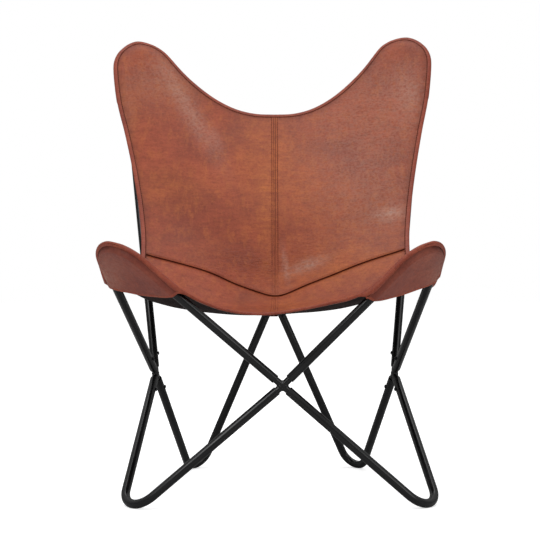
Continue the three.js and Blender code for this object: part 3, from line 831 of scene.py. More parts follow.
@dataclass
class TubeFrame:
    """The knock-down frame: eight bent tubes, four cross connectors and sixteen screws."""

    plan: ChairPlan
    finishes: Finishes
    tube_sides: int = 40
    bend_steps: int = 28
    stub_sides: int = 28
    weld_voxel: float = 0.8
    weld_bead_radius: float = 1.9
    weld_bead_blobs: int = 9
    weld_bead_share: float = 0.85
    widest_beaded_half_angle: float = 75
    tube_end_bevel: float = 0.35
    shank_radius: float = 1.9
    shank_length: float = 9
    head_radius: float = 3.8
    head_height: float = 2.4
    head_rim: float = 0.5
    head_bevel: float = 0.15
    socket_radius: float = 1.45
    socket_depth: float = 1.3
    vent_radius: float = 1.4
    vent_height: float = 38
    vent_rim: float = 0.45
    vent_sunk: float = 0.25
    vent_depth: float = 0.9
    merge_distance: float = 0.01

    def __post_init__(self) -> None:
        """Works out the crosses, the tubes and the joints."""
        plan = self.plan
        x, y, z = plan.side_cross
        self.crosses = {
            "front": (vec(*plan.front_cross), vec(0, 1, 0)),
            "back": (vec(*plan.back_cross), vec(0, -1, 0)),
            "left": (vec(-x, y, z), vec(1, 0, 0)),
            "right": (vec(x, y, z), vec(-1, 0, 0)),
        }
        kinds = (
            TubeKind("front_SIDE_leg", plan.front_foot, plan.feet_aside, True, "front",
                     plan.front_leg_setback),
            TubeKind("rear_SIDE_leg", plan.rear_foot, plan.feet_aside, True, "back",
                     plan.rear_leg_setback),
            TubeKind("seat_SIDE_arm", plan.seat_corner, plan.seat_corners_aside, False, "front",
                     plan.seat_arm_setback),
            TubeKind("back_SIDE_arm", plan.back_corner, 0, False, "back",
                     plan.back_arm_setback, plan.back_corners_lean),
        )
        self.members = [self.member(kind, side) for kind in kinds for side in Side]
        self.joints = [self.joint(member, arm) for member in self.members for arm in (0, 1)]

    def member(self, kind: TubeKind, side: Side) -> FrameMember:
        """One tube of the frame.

        Args:
            kind: Which of the four kinds it is.
            side: The side of the chair.

        Returns:
            The tube.
        """
        tip = vec(side.value * kind.tip.x + kind.aside, kind.tip.y, kind.tip.z + side.value * kind.lean)
        ends = (self.crosses[kind.cross][0], self.crosses[side.word][0])
        shape = VTube(self.plan, tip, kind.tip.bend_radius, ends, kind.on_floor)
        name = kind.label.replace("SIDE", side.word)
        return FrameMember(name, kind, side, shape, (kind.setback, self.plan.side_setback))

    def joint(self, member: FrameMember, arm: int) -> Joint:
        """The screw of one end of a tube.

        Args:
            member: The tube.
            arm: Which of its two arms ends there.

        Returns:
            The screw's place.
        """
        cross = member.kind.cross if arm == 0 else member.side.word
        centre, inside = self.crosses[cross]
        outwards = -member.shape.directions[arm]
        axis = unit(inside - outwards * (inside @ outwards))
        partner = member.side.word if arm == 0 else {"front": "front", "back": "rear"}[member.kind.cross]
        level = "lower" if member.kind.on_floor else "upper"
        name = f"{cross}_cross_screw_{level}_{partner}"
        return Joint(name, cross, outwards, axis, centre + outwards * self.plan.screw_distance)

    def shape_of(self, tip: Tip, side: Side) -> VTube:
        """The shape of the tube with a given tip on a given side."""
        return next(m.shape for m in self.members if m.kind.tip is tip and m.side is side)

    def build(self) -> None:
        """Makes every piece of the frame."""
        for member in self.members:
            self.build_tube(member)
        for cross in self.crosses:
            self.build_connector(cross)
        for joint in self.joints:
            self.build_screw(joint)
        self.build_vent()

    def build_tube(self, member: FrameMember) -> Object:
        """One bent tube: a ring, drawn straight, spun round the bend and drawn straight again.

        Args:
            member: The tube.

        Returns:
            Its piece.
        """
        plan, shape = self.plan, member.shape
        lengths = [shape.arm_length(arm) - member.setbacks[arm] for arm in (0, 1)]
        start = shape.beside_arm(0, lengths[0], 0)
        bm = bmesh.new()
        bmesh.ops.create_circle(bm, segments=self.tube_sides, radius=plan.tube_radius * MM,
                                matrix=turn_to(-shape.directions[0], place(start, plan), shape.normal))
        rim = bm.edges[:]
        rim = self.drawn(bm, rim, -shape.directions[0] * lengths[0] * MM)
        axis = np.cross(shape.outwards[0], -shape.directions[0])
        spun = bmesh.ops.spin(bm, geom=rim, cent=Vector(place(shape.centre, plan)), axis=Vector(axis),
                              angle=2 * shape.half_turn, steps=self.bend_steps)
        rim = [item for item in spun["geom_last"] if isinstance(item, BMEdge)]
        self.drawn(bm, rim, shape.directions[1] * lengths[1] * MM)
        bmesh.ops.remove_doubles(bm, verts=bm.verts, dist=self.merge_distance * MM)
        bmesh.ops.recalc_face_normals(bm, faces=bm.faces)
        for vert in bm.verts:
            vert.co.z = max(vert.co.z, 0)
        piece = piece_of(bm, f"{member.name}_coated", [self.finishes.coat], [member.name])
        add_modifier(piece, "SOLIDIFY", thickness=plan.tube_wall * MM, offset=-1)
        add_modifier(piece, "BEVEL", width=self.tube_end_bevel * MM, segments=2, limit_method="ANGLE",
                     angle_limit=math.radians(60))
        return piece

    def drawn(self, bm: BMesh, rim: list, reach: np.ndarray) -> list:
        """Draws a ring of edges out along a straight and gives the new ring.

        Args:
            bm: The tube's mesh.
            rim: The ring's edges.
            reach: How far and which way, in metres.

        Returns:
            The new ring's edges.
        """
        out = bmesh.ops.extrude_edge_only(bm, edges=rim)["geom"]
        verts = [item for item in out if isinstance(item, BMVert)]
        bmesh.ops.translate(bm, verts=verts, vec=Vector(reach))
        ring = set(verts)
        return [item for item in out if isinstance(item, BMEdge) and set(item.verts) <= ring]

    def build_connector(self, cross: str) -> Object:
        """Four stubs, welded at their middle with a bead in each angle between two of them.

        Args:
            cross: The cross's name.

        Returns:
            The connector's piece.
        """
        plan = self.plan
        centre = self.crosses[cross][0]
        stubs = [joint.outwards for joint in self.joints if joint.cross == cross]
        radius = plan.tube_radius - plan.tube_wall - plan.clearance
        reach = plan.screw_distance + plan.stub_beyond_screw
        bm = bmesh.new()
        for stub in stubs:
            middle = place(centre + stub * (reach / 2), plan)
            bmesh.ops.create_cone(bm, cap_ends=True, segments=self.stub_sides, radius1=radius * MM,
                                  radius2=radius * MM, depth=reach * MM, matrix=turn_to(stub, middle))
        for i, first in enumerate(stubs):
            for second in stubs[i + 1:]:
                half = math.acos(np.clip(first @ second, -1, 1)) / 2
                if half < math.radians(self.widest_beaded_half_angle):
                    self.add_bead(bm, centre, (first, second), half, radius)
        node = f"{cross}_cross_connector"
        piece = piece_of(bm, f"{node}_welded", [self.finishes.coat], [node])
        add_modifier(piece, "REMESH", mode="VOXEL", voxel_size=self.weld_voxel * MM, use_smooth_shade=True)
        return piece

    def add_bead(self, bm: BMesh, centre: np.ndarray, pair: tuple[np.ndarray, np.ndarray],
                 half: float, radius: float) -> None:
        """A weld bead of small blobs along the line where two stubs meet.

        Args:
            bm: The connector's mesh.
            centre: The middle of the cross.
            pair: The directions of the two stubs.
            half: Half of the angle between them.
            radius: The stubs' radius.
        """
        between = unit(pair[0] + pair[1])
        upright = unit(np.cross(*pair))
        for share in np.linspace(-self.weld_bead_share, self.weld_bead_share, self.weld_bead_blobs):
            out = radius * math.sqrt(1 - share * share) / math.sin(half)
            spot = centre + between * out + upright * (share * radius)
            bmesh.ops.create_icosphere(bm, subdivisions=1, radius=self.weld_bead_radius * MM,
                                       matrix=Matrix.Translation(Vector(place(spot, self.plan))))

    def build_screw(self, joint: Joint) -> Object:
        """A button-head screw: a shank and dome spun from their profile, with a six-sided socket.

        Args:
            joint: Where it goes.

        Returns:
            The screw's piece.
        """
        plan = self.plan
        foot = joint.seat + joint.axis * (plan.tube_radius + plan.clearance)
        bm = bmesh.new()
        top, brim, wide = self.head_height, self.head_rim, self.head_radius
        profile = [(0, -self.shank_length), (self.shank_radius, -self.shank_length), (self.shank_radius, 0),
                   (wide, 0), (wide, brim)]
        profile += [(wide * math.cos(angle), brim + (top - brim) * math.sin(angle))
                    for angle in np.linspace(0.25, 1.05, 4)]
        profile += [(self.socket_radius * 1.2, top)]
        verts = [bm.verts.new((radius, 0, height)) for radius, height in profile]
        edges = [bm.edges.new(pair) for pair in zip(verts, verts[1:])]
        bmesh.ops.spin(bm, geom=verts + edges, cent=(0, 0, 0), axis=(0, 0, 1), angle=2 * math.pi, steps=24,
                       use_merge=True)
        bmesh.ops.remove_doubles(bm, verts=bm.verts, dist=self.merge_distance)
        rim = [edge for edge in bm.edges if edge.is_boundary]
        socket = bmesh.ops.create_circle(bm, segments=6, radius=self.socket_radius,
                                         matrix=Matrix.Translation((0, 0, top)))["verts"]
        hexagon = [edge for edge in bm.edges if set(edge.verts) <= set(socket)]
        bmesh.ops.bridge_loops(bm, edges=rim + hexagon)
        drawn = bmesh.ops.extrude_edge_only(bm, edges=hexagon)["geom"]
        bottom = [item for item in drawn if isinstance(item, BMVert)]
        bmesh.ops.translate(bm, verts=bottom, vec=(0, 0, -self.socket_depth))
        bmesh.ops.contextual_create(bm, geom=bottom)
        bmesh.ops.recalc_face_normals(bm, faces=bm.faces)
        bmesh.ops.scale(bm, vec=(MM, MM, MM), verts=bm.verts)
        bmesh.ops.transform(bm, matrix=turn_to(joint.axis, place(foot, plan)), verts=bm.verts)
        piece = piece_of(bm, f"{joint.name}_turned", [self.finishes.screw], [joint.name])
        add_modifier(piece, "BEVEL", width=self.head_bevel * MM, segments=1, limit_method="ANGLE",
                     angle_limit=math.radians(40))
        return piece

    def build_vent(self) -> Object:
        """The small vent at the outer arm of the right front leg, with a rim round it.

        Returns:
            The vent's piece.
        """
        plan = self.plan
        shape = self.shape_of(plan.front_foot, Side.RIGHT)
        spot = shape.beside_arm(1, self.vent_height, 0)
        facing = unit(vec(0, -1, 0) - shape.directions[1] * (vec(0, -1, 0) @ shape.directions[1]))
        spot = spot + facing * (plan.tube_radius - self.vent_sunk)
        bm = bmesh.new()
        bmesh.ops.create_cone(bm, cap_ends=True, segments=20, radius1=self.vent_radius * MM,
                              radius2=self.vent_radius * 0.8 * MM, depth=self.vent_depth * MM,
                              matrix=turn_to(facing, place(spot, plan)))
        caps = [face for face in bm.faces if len(face.verts) > 4]
        bmesh.ops.inset_region(bm, faces=caps, thickness=self.vent_rim * MM, depth=-self.vent_sunk * MM)
        return piece_of(bm, "front_right_leg_vent", [self.finishes.screw])


@dataclass
class Sheet:
    """A grid of points in millimetres, with what its leather shows at each of them."""

    points: np.ndarray
    facing: np.ndarray
    corner_points: int = 5

    @property
    def normals(self) -> np.ndarray:
        """The direction square to the sheet at each point, on its grain side.

        Returns:
            A normal for each point.
        """
        down = np.gradient(self.points, axis=0)
        out = np.gradient(self.points, axis=1)
        normals = unit(np.cross(out, down))
        flip = np.sign((normals * self.facing).sum(axis=-1).mean())
        return normals * (flip or 1)

    @property
    def rounded_normals(self) -> np.ndarray:
        """The normals of a sheet with round corners, where both ways of the grid run along its edge.

        Returns:
            The normals; those near a corner are that of the first point well inside it.
        """
        normals, reach = self.normals, self.corner_points
        for rows in (slice(0, reach), slice(-reach, None)):
            for columns in (slice(0, reach), slice(-reach, None)):
                inner = normals[reach if rows.start == 0 else -reach - 1,
                                reach if columns.start == 0 else -reach - 1]
                normals[rows, columns] = inner
        return normals


@dataclass(frozen=True)
class Patch:
    """A patch on the front of the sling: the dye's warmer tone, painted sheen, painted shade, or deeper
    wrinkles.

    Its place across and up and its reach both ways are in millimetres, and its tilt is in degrees.
    """

    attribute: str
    x: float
    z: float
    wide: float
    high: float
    tilt: float
    strength: float

    def share(self, points: np.ndarray) -> np.ndarray:
        """How strongly the patch shows at each point.

        Args:
            points: Points of the sling, in millimetres.

        Returns:
            A share for each of them.
        """
        angle = math.radians(self.tilt)
        x, z = points[..., 0] - self.x, points[..., 2] - self.z
        u = (x * math.cos(angle) + z * math.sin(angle)) / self.wide
        v = (z * math.cos(angle) - x * math.sin(angle)) / self.high
        return self.strength * np.exp(-(u * u + v * v))


# The patches: warmth is the dye's own warmer tone, the pale ones are painted sheen and highlight, the dark
# ones are painted shade near the crease, and crumple deepens the wrinkles' bump.
PATCHES = (
    Patch("warmth", -22, 660, 60, 120, 0, 0.75),
    Patch("warmth", -200, 820, 90, 30, 8, 0.5),
    Patch("warmth", -150, 470, 120, 40, -10, 0.1),
    Patch("warmth", -14, 520, 16, 75, 0, 0.9),
    Patch("warmth", -214, 586, 75, 40, 0, 0.65),
    Patch("warmth", -310, 740, 24, 70, 0, 0.5),
    Patch("warmth", 170, 520, 120, 70, 0, 0.35),
    Patch("warmth", 40, 350, 70, 18, 0, 0.5),
    Patch("warmth", 60, 600, 60, 90, 10, 0.45),
    Patch("warmth", 120, 420, 130, 40, 14, 0.85),
    Patch("bloom", -179, 760, 112, 20, -60, 0.42),
    Patch("bloom", -120, 700, 26, 10, -66, 0.2),
    Patch("bloom", 296, 800, 30, 62, 0, 0.25),
    Patch("bloom", 200, 720, 150, 170, 0, 0.24),
    Patch("bloom", -250, 840, 80, 70, 0, 0.22),
    Patch("bloom", 240, 534, 34, 14, 10, 0.5),
    Patch("bloom", 190, 560, 110, 90, 0, 0.14),
    Patch("bloom", 66, 428, 40, 11, 20, 0.6),
    Patch("bloom", 22, 430, 5, 30, 8, 0.6),
    Patch("bloom", 270, 816, 90, 90, 0, 0.08),
    Patch("bloom", -312, 740, 18, 70, 0, 0.12),
    Patch("burnish", -65, 362, 24, 12, 0, 0.3),
    Patch("burnish", -130, 452, 90, 24, -8, 0.14),
    Patch("bloom", 304, 405, 34, 44, 0, 0.34),
    Patch("bloom", 318, 410, 8, 30, 0, 0.4),
    Patch("bloom", -304, 405, 30, 44, 0, 0.26),
    Patch("bloom", -314, 398, 7, 20, 0, 0.4),
    Patch("crumple", 60, 435, 90, 40, 10, 1.0),
    Patch("crumple", -70, 430, 80, 34, -10, 0.8),
    Patch("crumple", 200, 740, 90, 70, 30, 0.7),
)


@dataclass(frozen=True)
class Rise:
    """Where one row of the sling lies above its even course, at places across the chair.

    The places are millimetres across and up, and the reach is in rows. Where the sling's edge is fixed, the
    rise fades out within that many millimetres of it.
    """

    row: int
    reach: float
    places: tuple[tuple[float, float], ...]
    fixed_edge: float = 0

    def add_to(self, grid: np.ndarray, edge_gap: np.ndarray) -> np.ndarray:
        """Lifts a grid's rows near this one.

        Args:
            grid: The sling's points.
            edge_gap: How far each is from the sling's edge.

        Returns:
            The lifted points.
        """
        height = grid[self.row, :, 2]
        row = height + np.interp(grid[self.row, :, 0], *zip(*self.places))
        for _ in range(3):
            row[2:-2] = np.convolve(row, np.ones(5) / 5, mode="valid")
        fade = np.exp(-((np.arange(len(grid)) - self.row) / self.reach) ** 2)[:, None]
        if self.fixed_edge:
            fade = fade * smoothstep(edge_gap, self.fixed_edge / 3, self.fixed_edge)
        return grid + (fade * (row - height))[..., None] * UP


RISES = (
    Rise(0, 6, ((-300, 0), (-175, 0), (-138, 3), (-67, 3.5), (-38, 2), (-10, 0.5), (32, 3.5), (60, 5.3),
                (90, 7), (145, 8), (168, 3), (180, 0), (300, 0))),
    Rise(15, 8, ((-300, -6), (-198, -10), (-150, -6), (-60, 0), (60, 2), (120, 6), (200, 5), (300, 2)), 60),
    Rise(32, 8, ((-247, -0.9), (-207, 3.1), (-168, 6), (-148, 7.3), (-128, 7.7), (-109, 6.4), (-88, 1.8),
                 (-69, 1.2), (-49, 0), (-30, -1.1), (-10, -3), (10, -4.4), (30, -1.5), (50, 3.4), (70, 4),
                 (89, 5.4), (109, 4.8), (148, 7.2), (188, 7.4), (208, 6.3), (227, 5.1), (247, 4))),
)


# The fold of the hem, from its upper leaf to its lower one: the share of the way, and millimetres out.
NOSE = ((0.1, 1.8), (0.28, 2.7), (0.5, 3.0), (0.72, 2.7), (0.9, 1.8))

# How far off a pocket's leather the points of the hem's lower leaf lie, from its edge to the fold.
LEAF_ON_POCKET = (-0.6, 0.25, 0.2, 0.9, 1.0, 1.1, 1.0)


@dataclass
class Surface:
    """A grid of leather as a surface that trim is laid on."""

    points: np.ndarray
    normals: np.ndarray
    softening: float = 0.5

    def __post_init__(self) -> None:
        """Makes the tree that finds the surface's nearest point."""
        down, out = self.points.shape[:2]
        index = np.arange(down * out).reshape(down, out)
        corners = (index[:-1, :-1], index[:-1, 1:], index[1:, 1:], index[1:, :-1])
        self.faces = np.stack(corners, axis=-1).reshape(-1, 4)
        self.spots = self.points.reshape(-1, 3)
        self.facing = self.normals.reshape(-1, 3)
        self.tree = BVHTree.FromPolygons(self.spots.tolist(), self.faces.tolist())

    def lay(self, points: np.ndarray, up: np.ndarray | float) -> np.ndarray:
        """Lays points on the surface, and lifts them off it.

        Args:
            points: Points near the surface.
            up: How far off its middle each of them then lies.

        Returns:
            The laid points.
        """
        laid, facing = [], []
        for point in points:
            spot, _, face, _ = self.tree.find_nearest(point.tolist())
            corners = self.faces[face]
            weight = 1 / (np.linalg.norm(self.spots[corners] - np.array(spot), axis=1) + self.softening)
            laid.append(spot)
            facing.append(weight @ self.facing[corners])
        up = np.broadcast_to(up, len(points))
        return np.array(laid) + unit(np.array(facing)) * up[:, None]


def distance_to(points: np.ndarray, line: np.ndarray) -> np.ndarray:
    """How far each point is from the nearest point of a line."""
    return np.linalg.norm(points[..., None, :] - line, axis=-1).min(axis=-1)


@dataclass
class Sling:
    """The leather sling: panels, lapped crease, hem, seams, stitches and the four corner pockets."""

    plan: ChairPlan
    tubes: TubeFrame
    finishes: Finishes
    columns: int = 48
    seat_rows: int = 32
    back_rows: int = 56
    pocket_rows: int = 40
    pocket_columns: int = 56
    rim_points: int = 900
    rim_facing_passes: int = 20
    rim_smoothing_passes: int = 4
    rim_steps: int = 6
    fine_steps: int = 12
    smoothing_passes: int = 40
    pocket_leather: float = 2.4
    fall_rows: int = 4
    stretch_points: int = 160
    flange: float = 6.5
    flange_over_tube: float = 2
    pocket_near: tuple[float, float] = (3, 12)
    hem_width: float = 7.2
    hem_height: float = 1.0
    channel_width: float = 1.4
    side_channel: float = 2.4
    side_facing: tuple[float, float] = (0.8, 0.95)
    stitch_pitch: float = 5.0
    stitch_length: float = 3.6
    thread_radius: float = 0.42
    hem_thread_up: float = 0.4
    seam_thread_up: float = 0.3
    lap_thread_up: float = 0.25
    wave_height: float = 2.2
    wave_length: float = 120
    edge_held: tuple[float, float] = (25, 90)
    seam_held: tuple[float, float] = (4, 50)
    crease_held_rows: float = 6
    seam_half_width: float = 6.1
    # Painted shade: a band beside the hems and seams, and a stronger one beside each pocket's side seam.
    edge_burnish: float = 0.45
    edge_burnish_reach: tuple[float, float] = (8, 24)
    seam_gap_start: float = 20
    seam_gap_scale: float = 1.6
    side_seam_shade: float = 0.5
    side_seam_reach: tuple[float, float] = (12, 16.5)
    lap_stitch_inset: float = 5

    @property
    def rows(self) -> int:
        """Rows of the whole sling, from the front edge to the top edge."""
        return self.seat_rows + self.back_rows

    def bowed(self, share: np.ndarray, power: np.ndarray | float) -> np.ndarray:
        """How far a row has risen at a share of its way out, rounded at the middle."""
        rounding = self.plan.middle_rounding
        return ((np.hypot(share, rounding) - rounding) / (math.hypot(1, rounding) - rounding)) ** power

    def rim_half(self, shape: VTube, arm: int, length: float, beyond: float, turn: float = 1,
                 spread: float = 0, dent: float = 0) -> np.ndarray:
        """The edge of a corner, from its tip round half of the bend and along one arm.

        Args:
            shape: The tube that carries the corner.
            arm: Which arm the edge follows.
            length: How far it follows it.
            beyond: How far outside the tube's centre line it lies.
            turn: How much of the half bend it follows.
            spread: How much farther outside it is at its end.
            dent: How much nearer it is half way round the half bend.

        Returns:
            The edge's points.
        """
        shares = 0.5 + (arm - 0.5) * turn * np.arange(self.rim_steps + 1) / self.rim_steps
        points = shape.on_bend(shares, beyond - dent * np.sin(np.pi * np.abs(2 * shares - 1))[:, None])
        if length > 0:
            points = np.vstack([points, shape.beside_arm(arm, length, beyond + spread)])
        return points + shape.sitter_normal * self.plan.rim_lift

    def cross_edge(self, middle: np.ndarray, rim: np.ndarray, power: float, rise: float = 0) -> np.ndarray:
        """The front or top edge, from the tip of a corner in to the middle.

        Args:
            middle: Its point on the middle line.
            rim: The edge of the corner.
            power: How late the edge rises on its way out.
            rise: How much higher it is half way.

        Returns:
            The edge's points.
        """
        share = (np.arange(self.rim_steps - 1, -1, -1) / self.rim_steps)[:, None]
        free = lerp(middle, rim[-1], np.hstack([share, *[self.bowed(share, power)] * 2]))
        free = free + 4 * share * (1 - share) * vec(0, 0, rise)
        return smooth_line(np.vstack([rim, free]), self.fine_steps)

    def side_edge(self, seat_rim: np.ndarray, back_rim: np.ndarray, side: Side) -> tuple:
        """A side edge, from the tip of the seat corner through its sag to the tip of the back corner.

        Args:
            seat_rim: The edge of the seat corner.
            back_rim: The edge of the back corner.
            side: The side of the chair.

        Returns:
            The part before the crease and the part after it.
        """
        plan, steps = self.plan, 2 * self.rim_steps
        share = (np.arange(1, steps) / steps)[:, None]
        fall = 4 * share * (1 - share)
        sag = vec(plan.side_edges_aside - side.value * plan.side_inset, 0, -plan.side_sag)
        free = lerp(seat_rim[-1], back_rim[-1], share) + fall * sag
        line = smooth_line(np.vstack([seat_rim, free, back_rim[::-1]]), self.fine_steps)
        crease = round(self.fine_steps * (self.rim_steps + 1 + plan.crease_end_share * steps))
        return line[:crease + 1], line[crease:]

    def middle_line(self) -> np.ndarray:
        """The sling's line on the middle plane, with one row at the crease.

        Returns:
            A point for each row.
        """
        plan = self.plan
        stops = [plan.front_edge, plan.seat_low, plan.crease, plan.back_middle, plan.top_edge]
        front, crease, top = plan.middle_aside
        asides = (front, lerp(front, crease, 0.5), crease, lerp(crease, top, 0.5), top)
        fine = smooth_line(np.array([vec(x, *stop) for x, stop in zip(asides, stops)]), self.fine_steps)
        crease = self.fine_steps * stops.index(plan.crease)
        return self.two_parts(fine[:crease + 1], fine[crease:])

    def two_parts(self, seat: np.ndarray, back: np.ndarray) -> np.ndarray:
        """A line through the seat and one through the back, with a point for each row."""
        return np.vstack([spaced(seat, np.linspace(0, 1, self.seat_rows + 1)),
                          spaced(back, np.linspace(0, 1, self.back_rows + 1))[1:]])

    def edges(self, side: Side) -> dict[str, np.ndarray]:
        """The edges that half of the sling hangs between, each from the tip of a corner.

        Args:
            side: The side of the chair.

        Returns:
            The points of each edge, and of the middle line, by name.
        """
        plan = self.plan
        seat, back = (self.tubes.shape_of(tip, side) for tip in (plan.seat_corner, plan.back_corner))
        middle = self.middle_line()
        dent = plan.back_rim_dent - side.value * plan.back_dents_lean
        front_rim = self.rim_half(seat, 0, plan.seat_pocket.middle_straight, plan.seat_rim)
        top_rim = self.rim_half(back, 0, plan.back_pocket.middle_straight, plan.back_rim,
                                plan.back_pocket.middle_turn - side.value * plan.back_turns_lean,
                                dent=dent)
        seat_rim = self.rim_half(seat, 1, plan.seat_pocket.side_straight, plan.seat_rim,
                                 spread=plan.seat_rim_spread)
        back_rim = self.rim_half(back, 1, plan.back_pocket.side_straight, plan.back_rim, dent=dent)
        side_seat, side_back = self.side_edge(seat_rim, back_rim, side)
        return {
            "middle": middle,
            "front": self.cross_edge(middle[0], front_rim, plan.front_bow,
                                     side.value * plan.front_edge_lean),
            "top": self.cross_edge(middle[-1], top_rim, plan.top_bow),
            "side_seat": side_seat,
            "side_back": side_back,
        }

    def half_grid(self, edges: dict[str, np.ndarray]) -> np.ndarray:
        """Half of the sling's middle surface: rows run from the middle line to the side edge.

        Args:
            edges: What it hangs between.

        Returns:
            The points, by row and column.
        """
        plan = self.plan
        out = np.linspace(0, 1, self.columns + 1)
        front = spaced(edges["front"], out)[::-1]
        top = spaced(edges["top"], out)[::-1]
        edge = self.two_parts(edges["side_seat"], edges["side_back"])
        row = np.arange(self.rows + 1)
        in_seat = row < self.seat_rows
        near = np.where(in_seat, row / self.seat_rows, (self.rows - row) / self.back_rows)
        power = lerp(np.where(in_seat, plan.seat_bow, plan.back_bow), plan.crease_bow, near**2)
        rise = self.bowed(out[None, :], power[:, None])
        share = np.stack([np.broadcast_to(out, rise.shape), rise, rise], axis=-1)
        grid = lerp(edges["middle"][:, None, :], edge[:, None, :], share)
        front_share = np.clip(1 - row / self.seat_rows, 0, 1) ** plan.edge_fade
        top_share = np.clip((row - self.seat_rows) / self.back_rows, 0, 1) ** 2
        grid = grid + front_share[:, None, None] * (front - grid[0]) + top_share[:, None, None] * (
            top - grid[-1])
        return self.smoothed(grid)

    def smoothed(self, grid: np.ndarray) -> np.ndarray:
        """Evens out the inside of a grid and keeps it clear of the tubes below it.

        Args:
            grid: Points of the sling.

        Returns:
            The evened points.
        """
        for _ in range(self.smoothing_passes):
            mean = (grid[:-2, 1:-1] + grid[2:, 1:-1] + grid[1:-1, :-2] + grid[1:-1, 2:]) / 4
            inner = (grid[1:-1, 1:-1] + mean) / 2
            grid = grid.copy()
            grid[1:-1, 1:-1] = inner
            grid = self.cleared(grid)
        return grid

    def cleared(self, grid: np.ndarray) -> np.ndarray:
        """Lifts the inside of a grid off the tubes below it.

        Args:
            grid: Points of the sling.

        Returns:
            The points, clear of the tubes.
        """
        inner = grid[1:-1, 1:-1]
        for shape in [m.shape for m in self.tubes.members if not m.kind.on_floor]:
            away = shape.distance(inner)
            height = (inner - shape.centre) @ shape.sitter_normal
            flat = np.clip(away * away - height * height, 0, None)
            lift = np.sqrt(np.clip(self.plan.sheet_lift**2 - flat, 0, None)) - height
            inner = inner + np.where(away < self.plan.sheet_lift, lift, 0)[..., None] * shape.sitter_normal
        grid = grid.copy()
        grid[1:-1, 1:-1] = inner
        return grid

    def build(self) -> None:
        """Makes every piece of the sling."""
        self.side_edges = {side: self.edges(side) for side in Side}
        halves = {side: self.half_grid(self.side_edges[side]) for side in Side}
        whole = np.concatenate([halves[Side.LEFT][:, :0:-1], halves[Side.RIGHT]], axis=1)
        # Every third point of the edge is near enough to measure from.
        self.edge_gap = distance_to(whole, self.rim_of(whole)[::3])
        for rise in RISES:
            whole = rise.add_to(whole, self.edge_gap)
        whole = self.cleared(self.waved(whole))
        self.hide = Surface(whole, Sheet(whole, vec(0, -0.5, 0.8)).rounded_normals)
        self.seats, self.pockets = {}, {}
        for side in Side:
            self.build_panels(side)
            self.build_pocket(side, "seat", self.plan.seat_corner, self.plan.seat_pocket)
            self.build_pocket(side, "back", self.plan.back_corner, self.plan.back_pocket)
        self.build_hem()
        self.build_seams()

    def rim_of(self, grid: np.ndarray) -> np.ndarray:
        """The edge of a grid as a closed loop, from the left end of its first row."""
        return np.vstack([grid[0, :-1], grid[:-1, -1], grid[-1, :0:-1], grid[:0:-1, 0]])

    def waved(self, grid: np.ndarray) -> np.ndarray:
        """Gives the free parts of the hide the soft waves that it hangs in.

        Args:
            grid: The whole sling's points.

        Returns:
            The waved points.
        """
        normals = Sheet(grid, vec(0, -0.5, 0.8)).normals
        waves = np.array([[noise(Vector(point) / self.wave_length) for point in line] for line in grid])
        rows = np.abs(np.arange(self.rows + 1) - self.seat_rows)[:, None]
        free = smoothstep(self.edge_gap, *self.edge_held)
        free = free * smoothstep(np.abs(grid[..., 0]), *self.seam_held)
        free = free * smoothstep(rows, 0, self.crease_held_rows)
        return grid + normals * (waves * free * self.wave_height)[..., None]

    def sheet_piece(self, name: str, sheet: Sheet, thickness: float, materials: Sequence,
                    nodes: Sequence[str], edge_gap: np.ndarray | None = None,
                    shade: np.ndarray | float = 0) -> Object:
        """A sheet of leather about a grid of points.

        Args:
            name: The piece's name.
            sheet: Its points and the way that its grain faces.
            thickness: How thick it is.
            materials: The finishes of its grain side, its flesh side and its edge.
            nodes: The nodes that it stands for.
            edge_gap: How far each point is from a hem or seam, beside which shade is painted.
            shade: How much darker each point is beside that, as painted shade.

        Returns:
            The piece.
        """
        down, out = (count - 1 for count in sheet.points.shape[:2])
        bm = bmesh.new()
        bmesh.ops.create_grid(bm, x_segments=out, y_segments=down, size=1)
        places = place(sheet.points, self.plan)
        shares = {key: self.patch_share(key, sheet.points) for key in ("warmth", "bloom", "crumple")}
        # This share is painted shade: a few patches near the crease, a band beside the hems and seams, and
        # the band beside a pocket's side seam.
        shares["burnish"] = self.patch_share("burnish", sheet.points)
        if edge_gap is not None:
            near = 1 - smoothstep(edge_gap, *self.edge_burnish_reach)
            shares["burnish"] = shares["burnish"] + self.edge_burnish * near
        shares["burnish"] = shares["burnish"] + shade
        layers = {key: bm.verts.layers.float.new(key) for key in shares}
        for vert in bm.verts:
            spot = (round((vert.co.y + 1) / 2 * down), round((vert.co.x + 1) / 2 * out))
            vert.co = Vector(places[spot])
            for key, layer in layers.items():
                vert[layer] = float(np.broadcast_to(shares[key], places.shape[:2])[spot])
        bm.normal_update()
        facing = sum((face.normal for face in bm.faces), Vector())
        if facing.dot(Vector(sheet.facing)) < 0:
            bmesh.ops.reverse_faces(bm, faces=bm.faces)
        piece = piece_of(bm, name, materials, nodes)
        add_modifier(piece, "SUBSURF", levels=1, render_levels=1)
        add_modifier(piece, "SOLIDIFY", thickness=thickness * MM, offset=0, material_offset=1,
                     material_offset_rim=2)
        return piece

    def patch_share(self, attribute: str, points: np.ndarray) -> np.ndarray:
        """How strongly all patches of one kind show at each point.

        Args:
            attribute: The kind of patch.
            points: Points of the sling, in millimetres.

        Returns:
            A share for each of them.
        """
        total = np.zeros(points.shape[:2])
        for patch in PATCHES:
            if patch.attribute == attribute:
                total = total + patch.share(points)
        return np.clip(total, 0, 1)

    def build_panels(self, side: Side) -> None:
        """The seat and back panels of one side, lapped at the crease.

        Args:
            side: The side of the chair.
        """
        plan, finishes = self.plan, self.finishes
        middle = self.columns
        half = slice(0, middle + 1) if side is Side.LEFT else slice(middle, None)
        grid, normals = self.hide.points[:, half], self.hide.normals[:, half]
